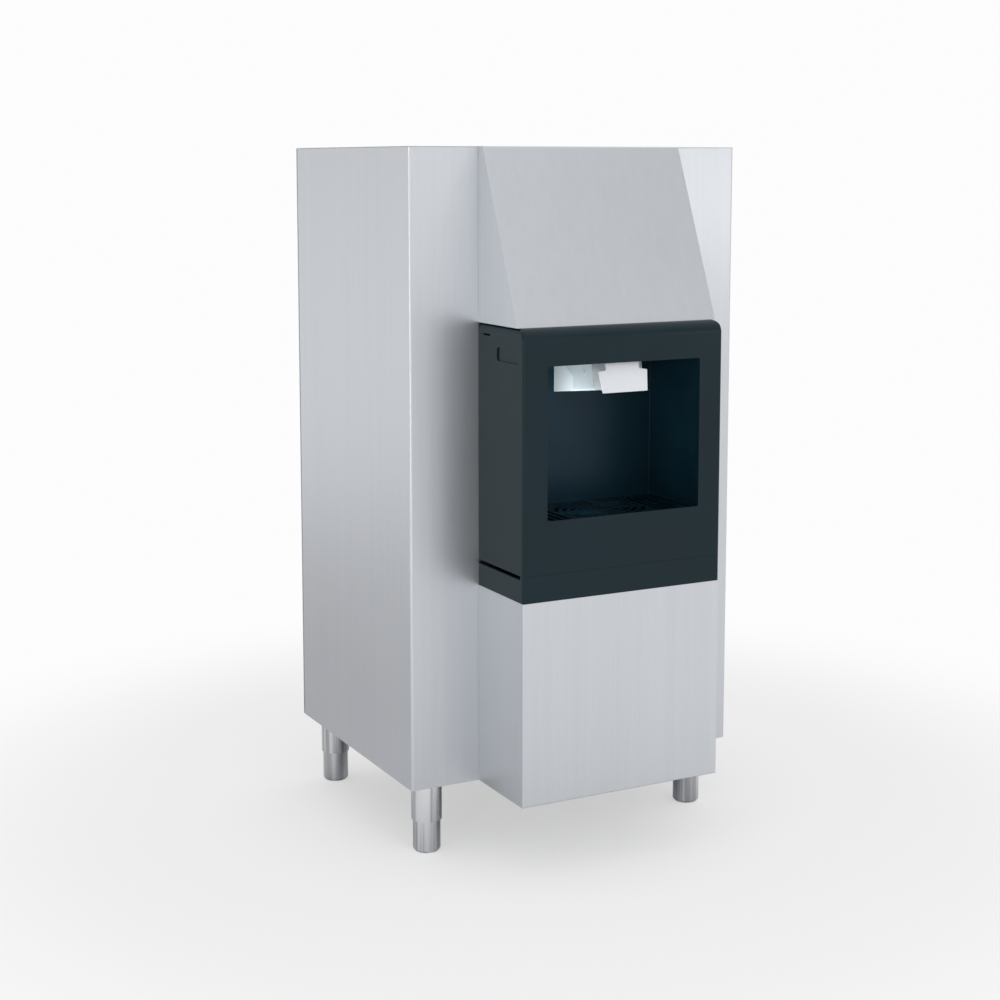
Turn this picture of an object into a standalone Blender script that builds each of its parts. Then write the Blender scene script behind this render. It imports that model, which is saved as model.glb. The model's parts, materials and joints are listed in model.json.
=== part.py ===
"""Floor-standing ice dispenser that carries a modular ice maker on its open top.

Metres, +Z up. The origin is on the floor under the middle of the machine, and the alcove faces -Y.
"""
import math

import bmesh
import bpy
from mathutils import Matrix, Vector

# Cabinet
CABINET_WIDTH = 0.762
CABINET_DEPTH = 0.5969
CABINET_HEIGHT = 1.2954
LEG_HEIGHT = 0.1524
SHEET = 0.0012
FOLD_RADIUS = 0.006
REAR_FLANGE = 0.020
SCREW_RADIUS = 0.0045
SCREW_HEAD = 0.0020
SCREW_INSET = 0.010
SCREW_HEIGHT_SHARES = (0.03, 0.34, 0.66, 0.97)
TOP_SHEET = 0.0015

# Clearances
GAP = 0.0003
CUT_OVERRUN = 0.002

# Base and floor of the bin space
BASE_SHEET = 0.0020
BASE_RECESS = 0.012
BASE_FLANGE = 0.028
BIN_FLOOR_ROOM = 0.048
RAIL_LEG = 0.030
RAIL_SHEET = 0.003

# Legs and levelling feet
LEG_RADIUS = 0.0315
LEG_BORE_RADIUS = 0.0290
LEG_PLATE_HALF = 0.036
LEG_PLATE = 0.003
LEG_INSET = 0.061
LEG_FRONT_SETBACK = 0.060
LEG_REAR_SETBACK = 0.042
FOOT_RADIUS = 0.0285
FOOT_SHOWN = 0.067
FOOT_HELD = 0.045
FOOT_CHAMFER = 0.008
FOOT_SOLE_INSET = 0.006

# Module that stands proud of the front
MODULE_WIDTH = 0.4572
MODULE_REACH = 0.1905
HOOD_TOP_REACH = 0.019
HOOD_FOLD_RADIUS = 0.0025
MODULE_FLANGE = 0.014
CREASE_SHARE = 0.683418
SEAM_SHARE = 0.359812
HEADER_HEIGHT = 0.0623
BAND_HEIGHT = 0.0546
BLACK_WALL = 0.003
BLACK_EDGE_RADIUS = 0.006
BLACK_SHOULDER_RADIUS = 0.012
TOP_LEDGE = 0.012
SEAM_GROOVE = 0.0022
SIDE_GROOVE = 0.008
COLLAR_LAP = 0.010
OPENING_WIDTH = 0.350
SILL_HEIGHT = 0.1045
BROW_HEIGHT = 0.0117
OPENING_CORNER_RADIUS = 0.004
GRIP_RISE = 0.0013
GRIP_HEIGHT = 0.027
GRIP_NEAR = 0.081
GRIP_FAR = 0.171
GRIP_DEPTH = 0.0015
GRIP_RADIUS = 0.006
SLOT_NEAR = 0.022
SLOT_FAR = 0.052
SLOT_DROP = 0.022
SLOT_HEIGHT = 0.0035

# Alcove
ALCOVE_HALF = 0.176
ALCOVE_WALL = 0.0025
ALCOVE_ABOVE = 0.004
ALCOVE_BELOW = 0.013
ALCOVE_FLANGE = 0.012
TRAY_HALF = 0.160
TRAY_BACK = 0.016
TRAY_FRONT = 0.172
TRAY_DEPTH = 0.050
TRAY_WALL = 0.0025
TRAY_RIM = 0.009
SPIGOT_X = 0.110
SPIGOT_REACH = 0.095
SPIGOT_RADIUS = 0.0120
SPIGOT_BORE_RADIUS = 0.0090
SPIGOT_LENGTH = 0.022
GRILLE_THICKNESS = 0.004
GRILLE_MARGIN = 0.0035
GRILLE_SLOT = 0.009
GRILLE_RIB = 0.0075
GRILLE_FRAME = 0.012
GRILLE_OVAL_HALF = 0.098
GRILLE_BRIDGE_ANGLE = 16.0

# Ice bin
BIN_SIDE_ROOM = 0.051
BIN_FRONT_ROOM = 0.0532
BIN_REAR_ROOM = 0.1687
BIN_WALL = 0.004
BIN_RIM = 0.014
BIN_SLOPE_RISE = 0.068
MOUTH_INSET = 0.012
MOUTH_LIP = 0.018
FOAM_REAR = 0.030
AXLE_DROP = 0.132
TROUGH_RADIUS = 0.205
TROUGH_STEPS = 12

# Outlet from the bin
OUTLET_HALF = 0.050
OUTLET_DROP = 0.013
OUTLET_HEIGHT = 0.090
THROAT_WALL = 0.0025
THROAT_FLANGE = 0.012
THROAT_NOSE = 0.0058

# Ice gate, its shaft and solenoid
GATE_THICKNESS = 0.003
GATE_HALF = 0.0512
GATE_BELOW = 0.006
GATE_AXIS_AHEAD = 0.0100
GATE_AXIS_RISE = 0.097
GATE_BARREL_RADIUS = 0.0048
GATE_SHAFT_RADIUS = 0.003
GATE_SWING = 45.0
CRANK_LENGTH = 0.024
CRANK_WIDTH = 0.010
CRANK_SHEET = 0.003
CRANK_OFFSET = 0.0145
CRANK_PIN_RADIUS = 0.002
CRANK_PIN_LENGTH = 0.007
CLEVIS_SHEET = 0.004
CLEVIS_HALF = 0.008
CLEVIS_BELOW = 0.006
CLEVIS_ABOVE = 0.012
PLUNGER_RADIUS = 0.006
PLUNGER_LENGTH = 0.043
PLUNGER_CLEARANCE = 0.002
COIL_RADIUS = 0.0165
COIL_LENGTH = 0.040
SOLENOID_SHEET = 0.002
SOLENOID_HALF = 0.016

# Chute
CHUTE_HALF = 0.056
CHUTE_WALL = 0.003
CHUTE_BACK_DROP = 0.125
CHUTE_FRONT = 0.168
CHUTE_FRONT_DROP = 0.104
CHUTE_BROW = 0.150
CHUTE_BROW_DROP = 0.043
CHUTE_ROOF_RISE = 0.121
CHUTE_RAMP = 0.082
CHUTE_RAMP_DROP = 0.090
CHUTE_EAR = 0.016
CHUTE_EAR_DROP = 0.030
CHUTE_EAR_RISE = 0.085
EAR_WEB_DROP = 0.021

# Push flap, its bracket and switch
FLAP_PIN_AHEAD = 0.162
FLAP_PIN_RISE = 0.0373
FLAP_PIN_RADIUS = 0.0025
FLAP_TILT = 14.3
FLAP_HALF = 0.056
FLAP_FOOT_HALF = 0.051
FLAP_NECK_HALF = 0.038
FLAP_LENGTH = 0.1115
FLAP_SHOULDER = 0.066
FLAP_THICKNESS = 0.0025
FLAP_BARREL_RADIUS = 0.0050
BRACKET_SHEET = 0.0015
BRACKET_SHELF_DROP = 0.0205
BRACKET_SHELF_NEAR = 0.137
BRACKET_SHELF_FAR = 0.158
SWITCH_HALF = 0.014
SWITCH_DEPTH = 0.016
SWITCH_HEIGHT = 0.010
LEVER_LENGTH = 0.022
LEVER_SHEET = 0.0008
LEVER_HEIGHT = 0.005
LEVER_LEAN = 24.0
LEVER_PIN_RADIUS = 0.0012
SPRING_COIL_RADIUS = 0.0034
SPRING_WIRE_RADIUS = 0.0005
SPRING_PITCH = 0.0018
SPRING_TURNS = 5

# Drive
SHAFT_RADIUS = 0.008
HUB_RADIUS = 0.026
WHEEL_RADIUS = 0.190
WHEEL_WIDTH = 0.070
WHEEL_INSET = 0.012
PADDLE_SHEET = 0.004
PADDLE_COUNT = 8
AGITATOR_RADIUS = 0.014
AGITATOR_ROD_RADIUS = 0.005
AGITATOR_REACH = 0.182
AGITATOR_RODS = 3
AGITATOR_TURN = 9.0
BUSH_RADIUS = 0.014
BUSH_FLANGE_RADIUS = 0.024
BUSH_FLANGE = 0.003
BUSH_TAIL = 0.005
COLLAR_RADIUS = 0.017
COLLAR_LENGTH = 0.012
HAT_DEPTH = 0.027
HAT_SHEET = 0.0030
HAT_HALF = 0.080
HAT_FLANGE = 0.022
GEARBOX_HALF = 0.055
GEARBOX_ABOVE = 0.055
GEARBOX_BELOW = 0.075
GEARBOX_DEPTH = 0.066
GEARBOX_EDGE = 0.006
MOTOR_RADIUS = 0.040
MOTOR_LENGTH = 0.112
MOTOR_BELL_RADIUS = 0.030
MOTOR_BELL_LENGTH = 0.018
MOTOR_FLANGE = 0.006
BOLT_RADIUS = 0.005
BOLT_HEAD = 0.004
BOLT_INSET = 0.014

# Drains
DRAIN_AHEAD = 0.040
DRAIN_SEAT = 0.0025
DRAIN_FLANGE_RADIUS = 0.020
DRAIN_FLANGE = 0.003
DRAIN_RADIUS = 0.0120
DRAIN_BORE_RADIUS = 0.0090
DRAIN_TAIL = 0.037
HOSE_LAP = 0.015
HOSE_WALL = 0.0025
TEE_RISE = 0.0626
TEE_REACH = 0.085
TEE_STUB = 0.040

# Ways through the front bulkhead
HOSE_WINDOW_X = 0.110
HOSE_WINDOW_HALF = 0.040
HOSE_WINDOW_RISE = 0.0476
HOSE_WINDOW_HEIGHT = 0.100
MOTOR_CABLE_X = -0.150
MOTOR_CABLE_ABOVE = 0.030

# Control box in the module, behind the lower panel
BOX_LEFT_X = -0.205
BOX_RIGHT_X = -0.005
BOX_LOW_SHARE = 0.0907828
BOX_HEIGHT = 0.220
BOX_DEPTH = 0.100
BOX_SHEET = 0.0012
BOARD_SHEET = 0.0016
BOARD_MARGIN = 0.022
BOARD_STANDOFF = 0.012
BOARD_POST_RADIUS = 0.004
RELAY_SIZE = 0.028
COVER_LIP = 0.010
ROCKER_HALF_X = 0.0095
ROCKER_HALF_Z = 0.0125
ROCKER_FRAME = 0.003
ROCKER_TILT = 9.0
ROCKER_ARC = 60.0
ROCKER_CROWN_SHARE = 0.35
ROCKER_AXIS_DEPTH = 0.0015
SWITCH_BODY_DEPTH = 0.024
CABLE_RADIUS = 0.0035
THIN_CABLE_RADIUS = 0.0025
GROMMET_RADIUS = 0.008
BEND_ROOM = 0.016
GLAND_INSET = 0.131
GLAND_AHEAD = 0.0937
GLAND_RADIUS = 0.011
GLAND_NUT_RADIUS = 0.016
GLAND_NUT = 0.007
GLAND_DROP = 0.020
GLAND_BORE_RADIUS = 0.005

# Vents in the rear panel
VENT_COUNT = 6
VENT_WIDTH = 0.160
VENT_HEIGHT = 0.006
VENT_PITCH = 0.016
VENT_SHARE = 0.160259
VENT_X = 0.210

# Facets
ROUND_SIDES = 24
SMALL_SIDES = 12
BEND_STEPS = 4
SMOOTH_LIMIT = 30.0

# Worked out from the sizes above
HALF_WIDTH = CABINET_WIDTH / 2
TOTAL_DEPTH = CABINET_DEPTH + MODULE_REACH
FRONT_Y = -TOTAL_DEPTH / 2
BACK_Y = TOTAL_DEPTH / 2
CABINET_FRONT_Y = FRONT_Y + MODULE_REACH
CABINET_LOW_Z = LEG_HEIGHT
TOP_Z = LEG_HEIGHT + CABINET_HEIGHT
MODULE_HALF = MODULE_WIDTH / 2
OPENING_HALF = OPENING_WIDTH / 2
CREASE_Z = CABINET_LOW_Z + CREASE_SHARE * CABINET_HEIGHT
SEAM_Z = CABINET_LOW_Z + SEAM_SHARE * CABINET_HEIGHT
BLACK_TOP_Z = CREASE_Z + HEADER_HEIGHT
BLACK_BOTTOM_Z = SEAM_Z - BAND_HEIGHT
OPENING_LOW_Z = SEAM_Z + SILL_HEIGHT
OPENING_HIGH_Z = CREASE_Z - BROW_HEIGHT
GRIP_HIGH_Z = CREASE_Z + GRIP_RISE
GRIP_LOW_Z = GRIP_HIGH_Z - GRIP_HEIGHT
SLOT_Z = BLACK_TOP_Z - SLOT_DROP
ALCOVE_TOP_Z = OPENING_HIGH_Z + ALCOVE_ABOVE
ALCOVE_FLOOR_Z = OPENING_LOW_Z - ALCOVE_BELOW
FLAP_PIN_Z = CREASE_Z + FLAP_PIN_RISE
BRACKET_SHELF_Z = FLAP_PIN_Z - BRACKET_SHELF_DROP
CHUTE_BACK_Z = FLAP_PIN_Z - CHUTE_BACK_DROP
CHUTE_FRONT_Z = FLAP_PIN_Z - CHUTE_FRONT_DROP
CHUTE_BROW_Z = FLAP_PIN_Z - CHUTE_BROW_DROP
CHUTE_ROOF_Z = FLAP_PIN_Z + CHUTE_ROOF_RISE
CHUTE_RAMP_Z = FLAP_PIN_Z - CHUTE_RAMP_DROP
CHUTE_EAR_LOW_Z = FLAP_PIN_Z - CHUTE_EAR_DROP
CHUTE_EAR_HIGH_Z = FLAP_PIN_Z + CHUTE_EAR_RISE
GATE_AXIS_Z = FLAP_PIN_Z + GATE_AXIS_RISE
OUTLET_LOW_Z = FLAP_PIN_Z - OUTLET_DROP
OUTLET_HIGH_Z = OUTLET_LOW_Z + OUTLET_HEIGHT
AXLE_Z = OUTLET_LOW_Z - AXLE_DROP
BIN_SLOPE_TOP_Z = OUTLET_LOW_Z + BIN_SLOPE_RISE
BIN_FLOOR_Z = AXLE_Z - TROUGH_RADIUS - BIN_FLOOR_ROOM
LEG_X = HALF_WIDTH - LEG_INSET
BIN_HALF = HALF_WIDTH - BIN_SIDE_ROOM
BIN_FRONT_Y = CABINET_FRONT_Y + BIN_FRONT_ROOM
BIN_REAR_Y = BACK_Y - BIN_REAR_ROOM
DRAIN_Y = BIN_REAR_Y - DRAIN_AHEAD
DRAIN_TAIL_Z = BIN_FLOOR_Z - DRAIN_TAIL
TEE_Z = CABINET_LOW_Z + TEE_RISE
TEE_FRONT_Y = DRAIN_Y - TEE_REACH
HOSE_WINDOW_LOW_Z = CABINET_LOW_Z + HOSE_WINDOW_RISE
HOSE_WINDOW_HIGH_Z = HOSE_WINDOW_LOW_Z + HOSE_WINDOW_HEIGHT
BOX_LOW_Z = CABINET_LOW_Z + BOX_LOW_SHARE * CABINET_HEIGHT
BOX_HIGH_Z = BOX_LOW_Z + BOX_HEIGHT
MOTOR_CABLE_Z = BOX_LOW_Z + MOTOR_CABLE_ABOVE
GLAND_X = GLAND_INSET - HALF_WIDTH
GLAND_Y = BACK_Y - GLAND_AHEAD
VENT_LOW_Z = CABINET_LOW_Z + VENT_SHARE * CABINET_HEIGHT
REAR_FACE_Y = BACK_Y - SCREW_HEAD
REAR_INNER_Y = REAR_FACE_Y - SHEET
PANEL_END_Y = REAR_INNER_Y - GAP
CORE_HALF = HALF_WIDTH - SHEET - GAP
CORE_FRONT_Y = CABINET_FRONT_Y + SHEET + GAP
CORE_REAR_Y = PANEL_END_Y - SHEET - GAP
CORE_RADIUS = FOLD_RADIUS - SHEET - GAP
BULKHEAD_HALF = HALF_WIDTH - FOLD_RADIUS - GAP
BASE_LOW_Z = CABINET_LOW_Z + BASE_RECESS
BASE_TOP_Z = BASE_LOW_Z + BASE_SHEET
UNDER_TOP_Z = TOP_Z - TOP_SHEET - GAP
FOAM_FRONT_Y = CORE_FRONT_Y + SHEET + GAP
BIN_BACK_Y = BIN_REAR_Y + BIN_WALL
REAR_BULKHEAD_Y = BIN_BACK_Y + FOAM_REAR
REAR_BULKHEAD_END_Y = REAR_BULKHEAD_Y + SHEET
FACE_Y = CORE_FRONT_Y - GAP
CHUTE_BACK = CABINET_FRONT_Y - (FACE_Y - 2 * GAP - ALCOVE_WALL)
TROUGH_LOW_Z = AXLE_Z - TROUGH_RADIUS
BORE_RADIUS = SHAFT_RADIUS + GAP
HEADER_SLOPE = (MODULE_REACH - HOOD_TOP_REACH) / (TOP_Z - CREASE_Z)
CRANK_HALF_SWING = math.radians(GATE_SWING / 2)
PLUNGER_STROKE = 2 * CRANK_LENGTH * math.sin(CRANK_HALF_SWING)
CRANK_SIDEWAYS = CRANK_LENGTH * (1 - math.cos(CRANK_HALF_SWING))
CRANK_X = -(CHUTE_HALF + CRANK_OFFSET)
PLUNGER_X = CRANK_X - CRANK_SHEET - GAP - CLEVIS_SHEET / 2
GATE_AXIS_Y = CABINET_FRONT_Y - GATE_AXIS_AHEAD
PLUNGER_Y = GATE_AXIS_Y - CRANK_LENGTH + CRANK_SIDEWAYS / 2
CRANK_PIN_Z = GATE_AXIS_Z - CRANK_LENGTH * math.sin(CRANK_HALF_SWING)
CLEVIS_TOP_Z = CRANK_PIN_Z + CLEVIS_ABOVE
SOLENOID_LOW_Z = CLEVIS_TOP_Z + PLUNGER_STROKE + PLUNGER_CLEARANCE
HAT_FACE_Y = REAR_BULKHEAD_END_Y + GAP + HAT_DEPTH
GEARBOX_Y = HAT_FACE_Y + GAP
GEARBOX_LOW_Z = AXLE_Z - GEARBOX_BELOW
COVER_Y = FACE_Y - GAP - BOX_DEPTH


# Scene and small helpers

def empty_scene():
    """Remove every object so that only the machine is in the file."""
    for item in list(bpy.data.objects):
        bpy.data.objects.remove(item, do_unlink=True)


def new_collection(name):
    """A collection linked to the scene."""
    group = bpy.data.collections.new(name)
    bpy.context.scene.collection.children.link(group)
    return group


empty_scene()
PARTS = new_collection("ice_dispenser")
CUTTERS = new_collection("cutters")


def finish_of(name, colour, roughness, metallic):
    """A plain finish with one colour, roughness and metallic value."""
    material = bpy.data.materials.new(name)
    material.use_nodes = True
    shader = material.node_tree.nodes["Principled BSDF"]
    shader.inputs["Base Color"].default_value = (*colour, 1)
    shader.inputs["Roughness"].default_value = roughness
    shader.inputs["Metallic"].default_value = metallic
    material.diffuse_color = (*colour, 1)
    return material


def stainless(name):
    """Brushed stainless sheet."""
    return finish_of(name, (0.56, 0.58, 0.61), 0.32, 1.0)


def galvanised(name):
    """Dull zinc-coated sheet for what the panels hide."""
    return finish_of(name, (0.42, 0.44, 0.46), 0.5, 1.0)


def black_plastic(name):
    """Satin blue-black moulding."""
    return finish_of(name, (0.025, 0.034, 0.040), 0.34, 0.0)


def white_plastic(name):
    """Clean white moulding."""
    return finish_of(name, (0.80, 0.83, 0.86), 0.4, 0.0)


def dark_rubber(name):
    """Dark grey hose and cable jacket."""
    return finish_of(name, (0.035, 0.035, 0.038), 0.6, 0.0)


def ahead(distance):
    """The y of a point this far in front of the cabinet's front plane."""
    return CABINET_FRONT_Y - distance


def place(name, mesh, group, finish=None):
    """Make an object of a mesh, in a collection, with its finish."""
    item = bpy.data.objects.new(name, mesh)
    group.objects.link(item)
    if finish is not None:
        mesh.materials.clear()
        mesh.materials.append(finish)
    if group is CUTTERS:
        item.hide_render = True
        item.display_type = "WIRE"
    return item


def mesh_from(bm, name):
    """Close a bmesh into a mesh whose faces point out."""
    bm.normal_update()
    bmesh.ops.recalc_face_normals(bm, faces=bm.faces)
    if bm.calc_volume(signed=True) < 0:
        bmesh.ops.reverse_faces(bm, faces=bm.faces)
    mesh = bpy.data.meshes.new(name)
    bm.to_mesh(mesh)
    bm.free()
    return mesh


def block(name, low, high, finish=None):
    """A box between two corners; without a finish it is a cutter."""
    low, high = Vector(low), Vector(high)
    bm = bmesh.new()
    bmesh.ops.create_cube(bm, size=1)
    bmesh.ops.scale(bm, vec=high - low, verts=bm.verts)
    item = place(name, mesh_from(bm, name), CUTTERS if finish is None else PARTS, finish)
    item.location = (low + high) / 2
    return item


def rod(name, radius, start, end, finish=None, sides=ROUND_SIDES, end_radius=None):
    """A closed cylinder or cone from one point to another."""
    start, end = Vector(start), Vector(end)
    along = end - start
    bm = bmesh.new()
    tip = radius if end_radius is None else end_radius
    bmesh.ops.create_cone(bm, cap_ends=True, segments=sides, radius1=radius, radius2=tip,
                          depth=along.length)
    mesh = mesh_from(bm, name)
    mesh.shade_smooth()
    mesh.set_sharp_from_angle(angle=math.radians(SMOOTH_LIMIT))
    item = place(name, mesh, CUTTERS if finish is None else PARTS, finish)
    item.rotation_euler = Vector((0, 0, 1)).rotation_difference(along).to_euler()
    item.location = (start + end) / 2
    return item


AXIS_FRAMES = {
    "X": Matrix(((0, 0, 1), (1, 0, 0), (0, 1, 0))),
    "Y": Matrix(((1, 0, 0), (0, 0, -1), (0, 1, 0))),
    "Z": Matrix.Identity(3),
}


def extrusion(name, outline, low, high, axis, finish=None):
    """A flat outline drawn along an axis: (y, z) along X, (x, z) along Y or (x, y) along Z."""
    curve = bpy.data.curves.new(name + "_outline", "CURVE")
    curve.dimensions = "2D"
    curve.fill_mode = "BOTH"
    curve.extrude = abs(high - low) / 2
    spline = curve.splines.new("POLY")
    spline.points.add(len(outline) - 1)
    for point, (u, v) in zip(spline.points, outline):
        point.co = (u, v, 0, 1)
    spline.use_cyclic_u = True
    guide = bpy.data.objects.new(name + "_guide", curve)
    CUTTERS.objects.link(guide)
    middle = (low + high) / 2
    offset = {"X": (middle, 0, 0), "Y": (0, middle, 0), "Z": (0, 0, middle)}[axis]
    guide.matrix_world = Matrix.Translation(offset) @ AXIS_FRAMES[axis].to_4x4()
    bpy.context.view_layer.update()
    shape = guide.evaluated_get(bpy.context.evaluated_depsgraph_get())
    mesh = bpy.data.meshes.new_from_object(shape)
    world = guide.matrix_world.copy()
    bpy.data.objects.remove(guide)
    bm = bmesh.new()
    bm.from_mesh(mesh)
    bmesh.ops.remove_doubles(bm, verts=bm.verts, dist=GAP / 10)
    bmesh.ops.dissolve_limit(bm, angle_limit=math.radians(1), verts=bm.verts, edges=bm.edges)
    bm.transform(world)
    mesh = mesh_from(bm, name)
    mesh.shade_smooth()
    mesh.set_sharp_from_angle(angle=math.radians(SMOOTH_LIMIT))
    return place(name, mesh, CUTTERS if finish is None else PARTS, finish)


def modifier(item, kind, **settings):
    """Add a modifier with its settings."""
    added = item.modifiers.new(kind.lower(), kind)
    for key, value in settings.items():
        setattr(added, key, value)
    return added


def cut(target, *cutters):
    """Take cutters out of a piece."""
    for cutter in cutters:
        modifier(target, "BOOLEAN", operation="DIFFERENCE", object=cutter)


def join(target, *others):
    """Fuse other shapes into a piece."""
    for other in others:
        modifier(target, "BOOLEAN", operation="UNION", object=other)


def set_origin(item, point):
    """Move an unturned piece's origin to a point, for instance on its joint's axis."""
    shift = Vector(point) - item.location
    item.data.transform(Matrix.Translation(-shift))
    item.location = Vector(point)


def rounded(points, radius, steps=BEND_STEPS, closed=True):
    """Replace the corners of an outline or path by arcs of one radius."""
    result = []
    count = len(points)
    for index, corner in enumerate(points):
        if not closed and index in (0, count - 1):
            result.append(tuple(corner))
            continue
        here = Vector(corner)
        to_last = (Vector(points[index - 1]) - here).normalized()
        to_next = (Vector(points[(index + 1) % count]) - here).normalized()
        half = to_last.angle(to_next) / 2
        middle = here + (to_last + to_next).normalized() * (radius / math.sin(half))
        first = here + to_last * (radius / math.tan(half)) - middle
        turn = first.angle_signed(here + to_next * (radius / math.tan(half)) - middle)
        for step in range(steps + 1):
            swung = Matrix.Rotation(-turn * step / steps, 2) @ first
            result.append(tuple(middle + swung))
    return result


def rectangle(left, right, near, far):
    """Corners of a rectangle."""
    return [(left, near), (right, near), (right, far), (left, far)]


def circle(centre_u, centre_v, radius, sides=SMALL_SIDES):
    """Points round a circle."""
    angles = [2 * math.pi * step / sides for step in range(sides)]
    return [(centre_u + radius * math.cos(a), centre_v + radius * math.sin(a)) for a in angles]


def folded_sheet(name, path, low_z, high_z, thickness, finish=None, side=1):
    """A sheet folded along a plan path, its thickness to one side of the path."""
    bm = bmesh.new()
    row = [bm.verts.new((x, y, low_z)) for x, y in path]
    edges = [bm.edges.new(pair) for pair in zip(row, row[1:])]
    drawn = bmesh.ops.extrude_edge_only(bm, edges=edges)["geom"]
    raised = [element for element in drawn if isinstance(element, bmesh.types.BMVert)]
    bmesh.ops.translate(bm, verts=raised, vec=(0, 0, high_z - low_z))
    mesh = bpy.data.meshes.new(name)
    bm.to_mesh(mesh)
    bm.free()
    mesh.shade_smooth()
    mesh.set_sharp_from_angle(angle=math.radians(SMOOTH_LIMIT))
    item = place(name, mesh, PARTS if finish else CUTTERS, finish)
    modifier(item, "SOLIDIFY", thickness=thickness, offset=side, use_even_offset=True)
    return item


def module_shell(name, profile, open_sides, wall, edges, finish, flange=False):
    """A shell of the module: a side profile drawn across its width, opened, rounded and given a wall.

    Each entry of edges is a test on an edge's middle and direction, with the radius that it gets.
    """
    item = extrusion(name, profile, -MODULE_HALF, MODULE_HALF, "X", finish)
    bm = bmesh.new()
    bm.from_mesh(item.data)
    back = [face for face in bm.faces if face.normal.y > 0.9]
    if flange:
        bmesh.ops.inset_region(bm, faces=back, thickness=MODULE_FLANGE)
        heights = [vert.co.z for vert in bm.verts]
        ends = {"bottom": min(heights), "top": max(heights)}
        for vert in back[0].verts:
            for side in open_sides:
                if abs(vert.co.z - ends[side]) < 2 * MODULE_FLANGE:
                    vert.co.z = ends[side]
        slivers = [face for face in bm.faces if face.calc_area() < GAP * GAP]
        bmesh.ops.delete(bm, geom=slivers, context="FACES")
    unwanted = [face for face in bm.faces if face in back]
    tests = {"bottom": lambda n: n.z < -0.9, "top": lambda n: n.z > 0.9}
    for side in open_sides:
        unwanted += [face for face in bm.faces if tests[side](face.normal)]
    bmesh.ops.delete(bm, geom=list(set(unwanted)), context="FACES")
    for test, radius in edges:
        chosen = [edge for edge in bm.edges if len(edge.link_faces) == 2 and test(edge)]
        bmesh.ops.bevel(bm, geom=chosen, offset=radius, segments=BEND_STEPS, profile=0.5, affect="EDGES")
    bm.to_mesh(item.data)
    bm.free()
    modifier(item, "SOLIDIFY", thickness=wall, offset=-1, use_even_offset=True)
    return item


def edge_middle(edge):
    """The middle of an edge."""
    return (edge.verts[0].co + edge.verts[1].co) / 2


def edge_along(edge):
    """The unit direction of an edge."""
    return (edge.verts[1].co - edge.verts[0].co).normalized()


def is_front_side_edge(edge):
    """True for the upright or sloped edges between the module's front and its sides."""
    middle = edge_middle(edge)
    upright = abs(edge_along(edge).x) < 0.1
    return upright and abs(abs(middle.x) - MODULE_HALF) < GAP and abs(edge_along(edge).z) > 0.5 \
        and middle.y < CABINET_FRONT_Y - GAP


def core_outline(front_y, rear_y, clearance=0.0):
    """Plan outline inside the folded side panels, its front corners following their folds."""
    half = CORE_HALF - clearance
    radius = CORE_RADIUS
    arc = []
    for step in range(BEND_STEPS + 1):
        turn = math.pi / 2 * step / BEND_STEPS
        arc.append((half - radius + radius * math.sin(turn), front_y + radius - radius * math.cos(turn)))
    left = [(-x, y) for x, y in reversed(arc)]
    return left + arc + [(half, rear_y), (-half, rear_y)]


# Cabinet

def side_panel(name, side):
    """A side and its front strip, folded from one sheet, with a return flange at the back."""
    outer = side * HALF_WIDTH
    bend = rounded([
        (outer, PANEL_END_Y - FOLD_RADIUS),
        (outer, CABINET_FRONT_Y),
        (side * MODULE_HALF, CABINET_FRONT_Y),
    ], FOLD_RADIUS, closed=False)
    path = [(outer - side * REAR_FLANGE, PANEL_END_Y), (outer, PANEL_END_Y)] + bend[1:]
    return folded_sheet(name, path, CABINET_LOW_Z, UNDER_TOP_Z, SHEET, stainless(name + "_steel"), -side)


def top_frame():
    """The flat top with the bin's mouth and a drip lip turned down into the bin."""
    finish = stainless("top_frame_steel")
    outline = core_outline(CABINET_FRONT_Y, REAR_FACE_Y, CORE_HALF - HALF_WIDTH)
    frame = extrusion("top_frame", outline, TOP_Z - TOP_SHEET, TOP_Z, "Z", finish)
    half = BIN_HALF - MOUTH_INSET
    front = BIN_FRONT_Y + MOUTH_INSET
    rear = BIN_REAR_Y - MOUTH_INSET
    lip = block("mouth_lip", (-half, front, TOP_Z - MOUTH_LIP), (half, rear, TOP_Z - TOP_SHEET / 2))
    mouth = block(
        "mouth_cut",
        (-half + TOP_SHEET, front + TOP_SHEET, TOP_Z - MOUTH_LIP - CUT_OVERRUN),
        (half - TOP_SHEET, rear - TOP_SHEET, TOP_Z + CUT_OVERRUN),
    )
    join(frame, lip)
    cut(frame, mouth)


def rear_panel():
    """The back sheet with vents, its drain hole and its screw heads."""
    panel = block(
        "rear_panel", (-HALF_WIDTH, REAR_INNER_Y, CABINET_LOW_Z), (HALF_WIDTH, REAR_FACE_Y, UNDER_TOP_Z),
        stainless("rear_panel_steel"),
    )
    for side in (-1, 1):
        x = side * (HALF_WIDTH - SCREW_INSET)
        for share in SCREW_HEIGHT_SHARES:
            z = CABINET_LOW_Z + share * (UNDER_TOP_Z - CABINET_LOW_Z)
            head = rod("rear_screw", SCREW_RADIUS, (x, REAR_INNER_Y + SHEET / 2, z), (x, BACK_Y, z), None,
                       SMALL_SIDES)
            join(panel, head)
    for row in range(VENT_COUNT):
        low = VENT_LOW_Z + row * VENT_PITCH
        for side in (-1, 1):
            x = side * VENT_X
            cut(panel, block("vent_cut", (x - VENT_WIDTH / 2, REAR_INNER_Y - CUT_OVERRUN, low),
                             (x + VENT_WIDTH / 2, BACK_Y + CUT_OVERRUN, low + VENT_HEIGHT)))
    cut(panel, rod("drain_cut", DRAIN_RADIUS + GAP, (0, REAR_INNER_Y - CUT_OVERRUN, TEE_Z),
                   (0, BACK_Y + CUT_OVERRUN, TEE_Z)))


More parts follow.
